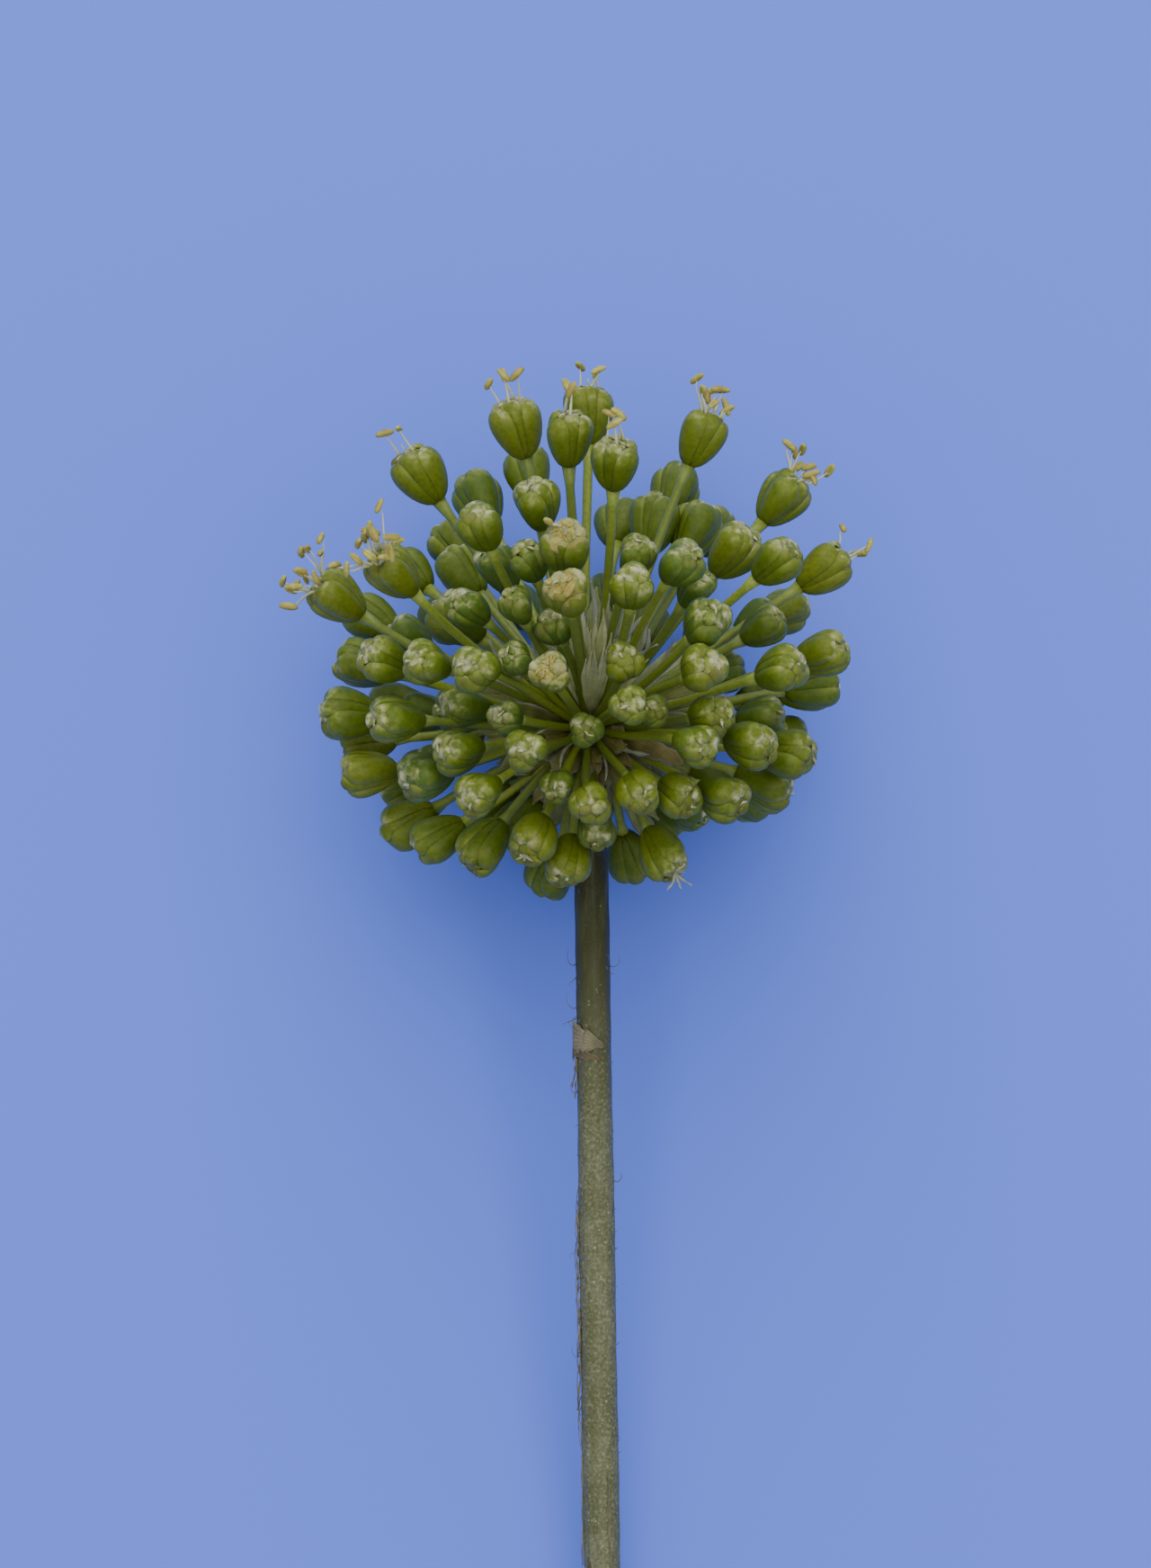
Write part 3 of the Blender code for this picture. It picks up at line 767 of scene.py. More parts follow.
def add_tepals(bundle, neck, axis, look, size, mouth, stage, tone, pale, seed):
    """The six tepals of one floret, each a closed thin shell on a grid: along it its midrib's curve,
    across it an arc of the bud's girth that falls with the square and the fourth power of the
    distance from the keel. The three outer ones bulge as lobes with arched tops that roll in over
    the mouth, and three narrower inner ones lie sunk between them and reach higher. Near the tips
    the shells crinkle by sines across and along, and the mouth's width is added to the girth."""
    rng = chance(seed)
    over, beneath = 9, 5
    t = np.concatenate([[0, 0.04, 0.1, 0.18], np.linspace(0.28, 0.76, 6), [0.83, 0.88, 0.92, 0.96, 1]])
    s = np.concatenate([np.linspace(-1, 1, over), np.linspace(0.86, -0.86, beneath)])
    under = np.concatenate([np.zeros(over), np.ones(beneath)])
    plump = rng.uniform(0.96, 1.04)
    spin = rng.uniform(0, 2 * math.pi)
    first, second = axes_across(axis)
    lean = rng.uniform(-0.05, 0.05, 2)
    opened = ramp(t, 0.6, 1.0) * mouth
    angles = smooth_through(TEPAL_ANGLES, t)
    body, tips = ramp(t, 0.02, 0.16)[:, None], ramp(t, 0.84, 0.97)[:, None]
    for k in range(6):
        outer = k % 2 == 0
        girth, height = smooth_through(OUTER_MIDRIB if outer else INNER_MIDRIB, t).T
        stout = 1 + rng.uniform(-0.04, 0.04) * ramp(t, 0.1, 0.6) + rng.uniform(-0.14, 0.14) * ramp(t, 0.8, 1)
        reach = rng.uniform(0.96, 1.03)
        middle = spin + k * math.pi / 3 + rng.uniform(-0.09, 0.09)
        half = np.radians(angles[:, 0 if outer else 1]) * rng.uniform(0.95, 1.04)
        base = girth * plump * stout + opened * rng.uniform(0.8, 1.15)
        bulge, square = (0.21, 0.1) if outer else (0.16, 0.06)
        dry = rng.uniform(-0.06, 0.05) * ramp(t, 0.6, 0.9)
        arch = 1 - (bulge * s**2 + square * s**4) * body
        phase, _, _ = rng.uniform(0, 2 * math.pi, 3)
        crinkle = 0.07 * tips * np.sin(6 * s + phase + 9 * t[:, None])
        radius = base[:, None] * arch - look.thickness * under + crinkle * 0.6
        drop = (0.42 if outer else 0.2) * ramp(t, 0.62, 0.95)[:, None] * np.abs(s) ** 2.5
        rise = (height * reach)[:, None] + crinkle - drop
        rise = (rise - 0.6 * look.thickness * under * ramp(t, 0.7, 0.95)[:, None]) * size
        theta = middle + s * half[:, None]
        radius = np.maximum(radius, 0.05) * size
        x = radius * np.cos(theta) + lean[0] * rise * rise / 5
        y = radius * np.sin(theta) + lean[1] * rise * rise / 5
        points = neck + x[..., None] * first + y[..., None] * second + rise[..., None] * axis
        # up says how far each point faces the crown; added to pale it feeds the painted highlight on the
        # upper sides and the painted shade on the lower sides in the tepals' finish.
        up = np.cos(theta) * (first @ CROWN) + np.sin(theta) * (second @ CROWN)
        bundle.add_tube(points, TEPALS, along=(t + dry)[:, None], across=np.where(under > 0, 0.3, s),
                        tone=tone, age=float(stage == SPENT), inside=under, pale=pale + 0.8 * up)


def add_dome(bundle, base, axis, radius, height, slot, seed, rough, rows, columns, lobes=3, **values):
    """A lobed dome along an axis: its girth is the sine and its rise the cosine of an angle from
    pole to pole, with lobes by a cosine round it and small dents by sines of both."""
    angle = np.linspace(0.12, math.pi - 0.12, rows)[:, None]
    turn = np.linspace(0, 2 * math.pi, columns, endpoint=False)[None, :]
    phase = chance(seed).uniform(0, 2 * math.pi, 2)
    girth = radius * np.sin(angle) * (1 + 0.08 * np.cos(lobes * turn + phase[0]))
    girth = girth + rough * np.sin(5 * angle + 4 * turn + phase[1]) * np.sin(angle)
    rise = height / 2 * (1 - np.cos(angle))
    bundle.add_tube(round_axis(base, axes_across(axis), axis, turn, girth, rise), slot, **values)


def add_crumple(bundle, neck, axis, size, mouth, stage, tone, pale, seed):
    """What fills a floret's mouth: a dented plug, puckered tips as small leaning domes in an uneven
    ring, and short curled ribbons that rise from the middle and fold over to a side, each along
    its own cubic."""
    rng = chance(seed)
    axes = axes_across(axis)
    spent = stage == SPENT
    ribbons = {SPENT: 7, OPEN: 6}.get(stage, 1)
    top = neck + axis * 4.3 * size
    plug = top - axis * 0.6 * size
    add_dome(bundle, plug, axis, (0.9 + mouth) * size, 0.75 * size, WITHERED if spent else TEPALS, seed,
             0.1, 6, 12, along=0.86, across=0.3, tone=tone, pale=pale)
    spin = rng.uniform(0, 2 * math.pi)
    rows = 7
    for k in range(8 if spent else 4):
        away = spoke(axes, spin + k * math.pi / 2 + rng.uniform(-0.4, 0.4))
        out = (rng.uniform(0.3, 0.65) + mouth) * size
        wide = rng.uniform(0.45, 0.72) * size
        lean = unit(axis + away * rng.uniform(-0.2, 0.7))
        foot = top + away * out - axis * rng.uniform(0.66, 0.85) * size
        slot = WITHERED if spent and k > 5 else TEPALS
        dry = np.linspace(0.7, 0.94, rows)[:, None] + rng.uniform(-0.08, 0.08)
        # Each puckered tip's pale is raised by how far it leans towards the crown, for the same painted
        # highlight and painted shade as the tepals.
        add_dome(bundle, foot, lean, wide, wide * rng.uniform(1.2, 1.6), slot, seed + k, 0.05, rows, 10, 2,
                 along=dry, across=0.3, tone=tone, age=float(spent), pale=pale + 0.8 * (away @ CROWN))
    for _ in range(ribbons):
        turn, out = rng.uniform(0, 2 * math.pi), (rng.uniform(0.15, 0.6) + mouth * 0.6) * size
        away = spoke(axes, turn)
        side = np.cross(axis, away)
        start = top + away * out * 0.4 - axis * 0.15
        ends = [start, start + axis * 0.42, start + axis * 0.5 + away * out + side * rng.uniform(-0.3, 0.3),
                start + axis * rng.uniform(0.1, 0.4) + away * (out + 0.25) + side * rng.uniform(-0.5, 0.5)]
        width = 0.09 + 0.1 * np.sin(np.linspace(0.3, math.pi, 6)) + 0.04 * np.sin(np.linspace(0, 9, 6) + turn)
        rings, _, _ = leaf_rings(bezier(ends, 6), away + axis, width * size, cup=0.8, thickness=0.06,
                                 wave=0.06, waves=2, phase=turn, columns=5)
        bundle.add_tube(rings, WITHERED if spent else SHREDS)


def floret_axis(number, way):
    """A floret's own axis: its pedicel's direction, tipped a few degrees to a side by its number.
    Open ones low on the left turn up towards the crown."""
    rng = chance(AXIS_SEED + number)
    turn, tip = rng.uniform(0, 2 * math.pi), math.radians(rng.uniform(0, 7))
    lift = 0.2 if FLORETS[number][2] == OPEN and way @ RIGHT < -0.6 and way @ CROWN < 0.7 else 0.0
    return unit(way + math.tan(tip) * spoke(axes_across(way), turn) + CROWN * lift)


def foot_direction(way):
    """Where a pedicel leaves the receptacle: straight under its floret, but never lower than the
    knob's shoulder, which is reached by turning from the crown towards the floret."""
    drop = math.acos(float(np.clip(CROWN @ way, -1, 1)))
    limit = math.radians(FOOT_DROP)
    if drop <= limit:
        return way
    side = unit(way - (CROWN @ way) * CROWN)
    return CROWN * math.cos(limit) + side * math.sin(limit)


def add_pedicel(bundle, look, neck, axis, way, number, size):
    """One floret's stalk: a cubic from the receptacle to the neck that arrives along the floret's
    axis, thicker at the foot and flared at the neck, with a slow ripple in its thickness."""
    rng = chance(PEDICEL_SEED + number)
    first, second = axes_across(way)
    leave = foot_direction(way)
    foot = MIDDLE + leave * (RECEPTACLE_RADIUS - 0.35)
    length = np.linalg.norm(neck - foot)
    sideways = second * rng.uniform(-0.5, 0.5) + first * rng.uniform(-0.5, 0.5)
    path = bezier([foot, foot + leave * length * 0.35 + sideways,
                   neck - axis * length * 0.3 + sideways * 0.4, neck + axis * 0.12 * size], 12)
    t = np.linspace(0, 1, 12)
    radii = 0.86 + 0.22 * ramp(t, 0.15, 0.0) + 0.12 * ramp(t, 0.3, 0.9) + 0.6 * ramp(t, 0.92, 1.0)
    radii = look.stalk_width / 2 * radii * (1 + 0.03 * np.sin(9 * t + number)) * (0.93 + 0.07 * size)
    bundle.add_tube(stalk_rings(path, radii, 8, first), PEDICEL, along=t[:, None], tone=rng.random())


def floret_parts(number):
    """(neck, axis, direction, size, stage) of a floret."""
    middle, way, stage = FLORETS[number]
    size = bud_size(stage, way) * chance(SIZE_SEED + number).uniform(0.95, 1.05)
    axis = floret_axis(number, way)
    return middle - axis * (BUD_LENGTH / 2 - 0.14) * size, axis, way, size, stage


def add_stamens(bundle, look, neck, axis, scale, size, seed, count, tangle):
    """A floret's stamens and style: each filament a tapered cubic from inside the mouth, spreading
    as it rises, with its anther balanced across its end at an angle of its own. Those of a very
    tangled flower also bend up and down and towards the side that faces up."""
    rng = chance(seed)
    axes = axes_across(axis)
    spin, splay = rng.uniform(0, 2 * math.pi), rng.uniform(0.8, 1.5)
    t = np.linspace(0, 1, 9)
    for k in range(count):
        away = spoke(axes, spin + k * 2 * math.pi / count + rng.uniform(-0.25, 0.25))
        side = np.cross(axis, away)
        tall = size * look.stamen_length * rng.uniform(0.6 - 0.4 * tangle, 1.1)
        spread = size * rng.uniform(0.4, 1.3) * (splay + tangle)
        start = neck + axis * 3.6 * scale + away * 0.8 * size
        aside = side * rng.uniform(-0.7, 0.7) * (1 + tangle)
        top = neck + axis * (4.4 * scale + tall) + away * spread + aside
        pull = rng.uniform(0.0, 1.0)
        top = top + (CROWN * (4.0 * pull - 2.0) + FRONT * 4.0 * (1.0 - pull)) * max(tangle - 0.9, 0.0)
        path = bezier([start, start + axis * 1.4, top - axis * tall * 0.55 - away * 0.1, top], 9)
        radii = look.filament_width / 2 * (1.5 - 1.0 * t)
        bundle.add_tube(stalk_rings(path, radii, 5, away, flat=0.75), FILAMENT, along=t[:, None])
        level = unit(spoke((away, side), rng.uniform(0, 2 * math.pi)) + axis * rng.uniform(-1.8, 1.8))
        add_anther(bundle, look, top + axis * 0.06, level, axis, rng)
    start = neck + axis * 3.2 * scale
    top = neck + axis * (4.4 * scale + size * look.stamen_length * 0.4)
    end = top + axes[0] * rng.uniform(-0.3, 0.3)
    path = bezier([start, start + axis, top - axis + axes[0] * 0.2, end], 7)
    bundle.add_tube(stalk_rings(path, 0.07, 5, axes[1]), FILAMENT, along=0.2)


def add_anther(bundle, look, middle, way, up, rng):
    """A two-lobed anther: an ellipsoid whose girth bulges by the sine of the angle from end to end,
    pinched in by a cosine to a groove along its two sides."""
    length = look.anther_length * rng.uniform(0.85, 1.1)
    width = length * rng.uniform(0.36, 0.44)
    angle = np.linspace(0.2, math.pi - 0.2, 8)[:, None]
    turn = np.linspace(0, 2 * math.pi, 12, endpoint=False)[None, :]
    groove = np.cos(2 * turn) ** 2 * (np.abs(np.cos(turn)) > 0.7)
    girth = width / 2 * np.sin(angle) ** 0.7 * (1 - 0.26 * groove)
    first = unit(up - (up @ way) * way)
    axes = (first, np.cross(way, first) * 1.1)
    bent = middle + (0.05 * length * np.sin(angle))[..., None] * first
    points = round_axis(bent, axes, way, turn, girth, -length / 2 * np.cos(angle))
    bundle.add_tube(points, ANTHER, across=groove, age=rng.random() ** 2)


# Scape

def scape_point(below):
    """The scape's axis so far below the receptacle's middle, leaning to the right in proportion."""
    below = np.asarray(below, float)[..., None]
    return MIDDLE - CROWN * below + RIGHT * SCAPE_LEAN * below / CUT_BELOW


def scape_radius(below):
    keys = [(CUT_BELOW * i / (len(SCAPE_RADII) - 1), radius) for i, radius in enumerate(SCAPE_RADII)]
    return smooth_through(keys, below)[..., 0]


def on_scape(below, turn, proud=0.0):
    """A point on the scape's skin, at a turn from the side that faces up."""
    turn = np.radians(np.asarray(turn, float))[..., None]
    out = RIGHT * np.sin(turn) + FRONT * np.cos(turn)
    return scape_point(below) + out * (scape_radius(below) + proud)[..., None], out


def scape_surface(bundle):
    """The stalk: circles along its axis with low ridges by sines round it and slow swellings by
    sines along it, widening a little into the receptacle. At the cut the rings turn in over the
    rim and sink into the pith by a square."""
    below = np.concatenate([np.linspace(0.9, 3.0, 6), np.linspace(3.6, CUT_BELOW - 0.25, 150)])
    turn = np.linspace(0, 2 * math.pi, 40, endpoint=False)[None, :]
    radius = scape_radius(below)[:, None] * 0.985 + 0.25 * ramp(below, 3.2, 0.9)[:, None]
    radius = radius + 0.018 * np.sin(9 * turn + 0.04 * below[:, None]) + 0.012 * np.sin(17 * turn + 1)
    radius = radius + 0.02 * np.sin(0.31 * below[:, None] + 2 * turn)
    radius = radius + 0.015 * np.sin(1.7 * below[:, None] + turn)
    out = RIGHT * np.sin(turn)[..., None] + FRONT * np.cos(turn)[..., None]
    wall = scape_point(below)[:, None] + out * radius[..., None]
    share = np.array([0.985, 0.93, 0.8, 0.72, 0.5, 0.25])[:, None]
    depth = np.array([0.0, 0.0, 0.03, 0.12, 0.28, 0.36])[:, None] + 0.03 * np.sin(5 * turn)
    cap = scape_point(CUT_BELOW - 0.05) + out * (radius[-1:] * share)[..., None] + CROWN * depth[..., None]
    along = np.concatenate([below / CUT_BELOW, np.ones(len(share))])[:, None]
    cut = np.concatenate([np.zeros(len(below)), np.ones(len(share))])[:, None]
    bundle.add_tube(np.concatenate([wall, cap]), along=along, cut=cut)


def skin_strip(bundle, start, stop, turn_start, turn_stop, width, proud, curl, slot, seed, rows):
    """A strip of torn skin along the scape: a thin sheet just over its surface, frayed in width by
    sines, whose end lifts off by the cube of the way along it."""
    t = np.linspace(0, 1, rows)
    path, out = on_scape(start + (stop - start) * t, turn_start + (turn_stop - turn_start) * t, proud)
    path = path + out * (curl * ramp(t, 0.55, 1.0) ** 1.5)[:, None]
    phase = chance(seed).uniform(0, 6, 3)
    half = width / 2 * (np.sin(math.pi * (0.04 + 0.93 * t)) ** 0.5)
    half = half * (0.72 + 0.2 * np.sin(9 * t + phase[0]) + 0.14 * np.sin(23 * t + phase[1]))
    bundle.add_sheet(path, out, half, slot, cup=-0.12, thickness=0.07, wave=0.07, waves=4, phase=phase[2],
                     columns=7)


def skin_patch(bundle, below, turn_start, turn_stop, half_start, half_stop, slot, seed):
    """A torn scrap of skin that lies round the scape: a thin sheet whose path goes round it, whose
    half-width shrinks along that path with a ripple, and whose ends lift a little off the skin."""
    t = np.linspace(0, 1, 24)
    lift = 0.04 + 0.22 * ramp(t, 0.25, 0.0) + 0.1 * ramp(t, 0.8, 1.0) + 0.04 * np.sin(9 * t + seed)
    path, out = on_scape(below + 0.5 * t**2, turn_start + (turn_stop - turn_start) * t, lift)
    half = half_start + (half_stop - half_start) * ramp(t, 0.1, 1.0)
    half = half * (1 + 0.16 * np.sin(11 * t + seed) + 0.1 * np.sin(27 * t)) * (1 - 0.8 * ramp(t, 0.9, 1.0))
    bundle.add_sheet(path, out, half, slot, thickness=0.06, wave=0.08, waves=4, phase=seed)


def fibre(bundle, points, radius, slot=0, sides=4, rows=9):
    """A hair or fibre: a tapered tube along a cubic."""
    path = bezier(points, rows)
    t = np.linspace(0, 1, rows)
    hint = any_across(unit(path[-1] - path[0]))
    bundle.add_tube(stalk_rings(path, radius * (1 - 0.75 * t), sides, hint), slot, along=t[:, None])


# Membranes

def torn_blade(bundle, drop, turn, tip, width, teeth, seed):
    """A membrane torn into teeth: narrow strips side by side from one foot, each ending in a point
    at a height of its own. Their places across it spread by an eased ramp, and their half-widths
    swell by a ramp and close by another."""
    rng = chance(seed)
    way = direction(drop, turn)
    side = unit(np.cross(FRONT, way))
    t = np.linspace(0, 1, 20)
    for k in range(teeth):
        place = (2 * k + 1) / teeth - 1
        reach = tip * (rng.uniform(0.78, 0.92) if k % 2 else rng.uniform(0.9, 1.0))
        aside = place * width / 2 * (0.3 + 0.7 * ramp(t, 0.0, 0.8)) + rng.uniform(-0.3, 0.3) * t**6
        lift = 0.05 * (k % 2) + 0.12 * np.sin(4 * t + seed + place) + rng.uniform(-0.2, 0.5) * t**5
        path = MIDDLE + way * (BLADE_FOOT + (reach - BLADE_FOOT) * t)[:, None]
        path = path + side * aside[:, None] + FRONT * lift[:, None]
        half = width / teeth * (0.45 + 0.4 * ramp(t, 0.0, 0.5)) * (1 - 0.94 * ramp(t, 0.72, 1.0))
        half = half * (1 + 0.1 * np.sin(20 * t + k)) + 0.02
        bundle.add_sheet(path, FRONT, half, cup=0.25, thickness=0.06, wave=0.05, waves=3, phase=k, columns=7)


def ribbon(bundle, points, width, seed):
    """A thin curled ribbon along a cubic, its half-width a sine of the way along it with a ripple."""
    t = np.linspace(0, 1, 16)
    half = width / 2 * (0.25 + 0.75 * np.sin(math.pi * (0.15 + 0.82 * t))) * (1 + 0.2 * np.sin(15 * t + seed))
    face = unit(FRONT + chance(seed).uniform(-0.5, 0.5, 3))
    bundle.add_sheet(bezier(points, 16), face, half, cup=0.5, thickness=0.05, wave=0.06, waves=2, phase=seed,
                     columns=5)


def wisp(bundle, drop, turn, start, tip, bend, width, seed):
    """A stray ribbon between the pedicels: it runs out along a direction and bends to a side."""
    rng = chance(WISP_SEED + seed)
    way = direction(drop, turn)
    side = unit(np.cross(FRONT, way))
    length = tip - start
    first = MIDDLE + way * start
    points = [first, first + way * length * 0.4 - side * bend * 0.3,
              first + way * length * 0.8 + side * bend * 0.4,
              first + way * length + side * bend + FRONT * rng.uniform(-0.3, 0.4)]
    ribbon(bundle, points, width * rng.uniform(0.7, 1.3), seed)


def scattered_blades(keep, tip, step, steps, width):
    """Two-toothed blades at the points of the spiral that a test of the drop and of the share
    towards the side that faces up keeps. Their tips reach one of several steps in turn."""
    bundle = Bundle("along", "across")
    for i, (drop, turn) in enumerate(spiral(CHAFF_CANDIDATES)):
        if keep(drop, direction(drop, turn) @ FRONT):
            torn_blade(bundle, drop, turn, tip - step * (i % steps), width, 2, i)
    return bundle


# What a user may change

def length_prop(name, text, default):
    return FloatProperty(name=name, description=text + ", in millimetres", default=default, min=0.0)


def strength_prop(name, text, default):
    return FloatProperty(name=name, description="Strength of the " + text, default=default, min=0.0)


def colour_prop(name, text, red, green, blue):
    return FloatVectorProperty(name=name, description=text, subtype="COLOR", size=3, min=0.0, max=1.0,
                               default=colour(red, green, blue))


class AlliumFloretLook(PropertyGroup):
    """Sizes and colours of the florets and their pedicels."""

    thickness: length_prop("Tepal Thickness", "How thick a tepal is at its keel", 0.12)
    open_mouth: length_prop("Open Mouth", "How much wider an open floret's mouth stands", 0.2)
    spent_mouth: length_prop("Spent Mouth", "How much wider a spent floret's mouth stands", 0.3)
    stalk_width: length_prop("Pedicel Width", "How thick a pedicel is halfway", 0.7)
    neck: colour_prop("Neck Green", "Tepals at the neck", 88, 102, 10)
    belly: colour_prop("Belly Green", "Tepals over the floret's belly", 80, 100, 8)
    shoulder: colour_prop("Shoulder Green", "Tepals under their tips", 96, 112, 20)
    young: colour_prop("Young Green", "Tepals of young florets", 60, 94, 36)
    margin: colour_prop("Margin", "Pale margins of the tepals", 124, 138, 52)
    tip: colour_prop("Tip", "Dry puckered tips", 186, 189, 150)
    stalk: colour_prop("Pedicel Green", "The pedicels", 126, 142, 36)


class AlliumStamenLook(PropertyGroup):
    """Sizes and colours of the stamens that stand out of open florets."""

    stamen_length: length_prop("Stamen Length", "How far a stamen stands out of its floret", 1.9)
    filament_width: length_prop("Filament Width", "How thick a filament is halfway", 0.22)
    anther_length: length_prop("Anther Length", "How long an anther is", 1.4)
    anther: colour_prop("Anther", "Mealy ochre of the anthers", 178, 174, 86)


class AlliumScapeLook(PropertyGroup):
    """Colours of the scape."""

    skin: colour_prop("Skin", "The scape's own green", 86, 90, 64)
    bloom_and_sheen: colour_prop("Bloom", "The grey bloom that lies on it in patches", 112, 114, 94)


class AlliumStageLook(PropertyGroup):
    """The floor, the lights and the camera."""

    floor: colour_prop("Floor", "The floor's colour", 93, 122, 252)
    key_power: strength_prop("Key Light", "main soft light, in watts", 6.6)
    fill_power: strength_prop("Fill Light", "fill light, in watts", 4.3)
    sky: strength_prop("Sky", "even light from all round", 0.63)
    lens: FloatProperty(name="Lens", description="Focal length in millimetres", default=200.0, min=20.0)
    view_height: length_prop("View Height", "How much the picture shows from top to bottom", 116.2)


# Operators

def claim(piece, slot, *nodes):
    """Puts a finished piece in the frame: it rides on the one body, and the solids it stands for are hidden.
    The slot is not used.
    """
    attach(piece, "root")
    if nodes:
        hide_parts(*nodes)


def node_middle(node):
    low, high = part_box(node)
    return (np.array(low) + np.array(high)) / 2 / MM


def floret_piece(name, numbers, look, finishes):
    """Some florets with their pedicels, as one piece."""
    bundle = Bundle("along", "across", "tone", "age", "inside", "pale")
    tones = {OPEN: (0.7, 1.1), YOUNG: (0.0, 0.25)}
    mouths = {OPEN: look.open_mouth, SPENT: look.spent_mouth}
    for number in numbers:
        neck, axis, way, size, stage = floret_parts(number)
        mouth = mouths[stage] if stage in mouths else chance(MOUTH_SEED + number).uniform(-0.05, 0.12)
        tone = chance(TONE_SEED + number).uniform(*tones.get(stage, (0.1, 0.9)))
        # pale: a floret's own paleness drawn at random, raised by how far it faces the crown; the raise feeds
        # the painted highlight and painted shade of its tips.
        pale = chance(PALE_SEED + number).uniform(0.1, 0.9) + 0.4 * (way @ CROWN)
        add_tepals(bundle, neck, axis, look, size, mouth, stage, tone, pale, number)
        add_pedicel(bundle, look, neck, axis, way, number, size)
        add_crumple(bundle, neck, axis, size, mouth, stage, tone, pale, number)
    return bundle.piece(name, finishes)


class AlliumBuildFlorets(Operator):
    """Builds every floret with its pedicel, two neighbours to a piece"""

    bl_idname = "allium.build_florets"
    bl_label = "Florets and Pedicels"

    def execute(self, context):
        look = context.scene.allium_florets
        shreds = crumbly_finish("mouth_shreds", 0.7, (0.7, 0.2),
                                (look.tip, colour(128, 136, 74), colour(166, 158, 116)), (0.75, 0.6),
                                (0.6, 0.06), Subsurface_Weight=0.15, Subsurface_Scale=0.0005)
        withered = crumbly_finish("withered_rust", 0.8, (0.5, 0.15),
                                  (colour(158, 154, 84), colour(134, 118, 50), colour(182, 180, 130)),
                                  (0.75, 0.6), (0.8, 0.08))
        finishes = [perianth_finish(look), pedicel_finish(look), shreds, withered]
        for order, pair in enumerate(PAIRS, 1):
            node = f"florets_{order:02}"
            made = sum(FLORETS[number][0] for number in pair) / 2
            if np.linalg.norm(node_middle(node) - made) > NODE_SLACK:
                raise RuntimeError(f"{node} does not lie where its florets are")
            claim(floret_piece(f"floret_pair_{order:02}", pair, look, finishes), "floret", node)
        for first in range(len(SOLID_FLORETS), len(FLORETS), INNER_GROUP):
            group = range(first, min(first + INNER_GROUP, len(FLORETS)))
            claim(floret_piece(f"inner_florets_{first:03}", group, look, finishes), "floret")
        return {"FINISHED"}


class AlliumBuildStamens(Operator):
    """Builds the stamens and the style of every open floret"""

    bl_idname = "allium.build_stamens"
    bl_label = "Stamens"

    def execute(self, context):
        look = context.scene.allium_stamens
        finishes = [filament_finish(), anther_finish(look)]
        flowers = [number for number, (_, _, stage) in enumerate(FLORETS) if stage in (OPEN, SPENT)]
        for number, (count, tangle) in zip(flowers, STAMENS):
            neck, axis, _, scale, stage = floret_parts(number)
            size = scale * (0.6 if stage == SPENT else 1.0)
            bundle = Bundle("along", "across", "age")
            add_stamens(bundle, look, neck, axis, scale, size, STAMEN_SEED + number, count, tangle)
            claim(bundle.piece(f"stamens_{number:02}", finishes), "floret")
        return {"FINISHED"}


class AlliumBuildReceptacle(Operator):
    """Builds the knob that the pedicels grow from"""

    bl_idname = "allium.build_receptacle"
    bl_label = "Receptacle"

    def execute(self, context):
        finish = crumbly_finish("receptacle_green", 0.6, (0.8, 0.2),
                                (colour(98, 108, 44), colour(74, 70, 34), colour(150, 150, 90)),
                                (0.8, 0.4), (0.6, 0.1))
        bundle = Bundle()
        angle = np.linspace(0.05, math.pi - 0.05, 36)[:, None]
        turn = np.linspace(0, 2 * math.pi, 56, endpoint=False)[None, :]
        bumps = np.sin(11 * turn + 7 * angle) * np.sin(9 * angle + 4 * turn) * np.sin(angle)
        radius = RECEPTACLE_RADIUS * (1 + 0.035 * bumps)
        girth, rise = radius * np.sin(angle), radius * np.cos(angle)
        bundle.add_tube(round_axis(MIDDLE, (FRONT, RIGHT), CROWN, turn, girth, rise))
        claim(bundle.piece("receptacle_knob", [finish]), "receptacle", "receptacle")
        return {"FINISHED"}


class AlliumBuildScape(Operator):
    """Builds the scape down to its cut end"""

    bl_idname = "allium.build_scape"
    bl_label = "Scape"

    def execute(self, context):
        bundle = Bundle("along", "cut")
        scape_surface(bundle)
        claim(bundle.piece("scape_stalk", [scape_finish(context.scene.allium_scape)]), "scape", "scape")
        return {"FINISHED"}


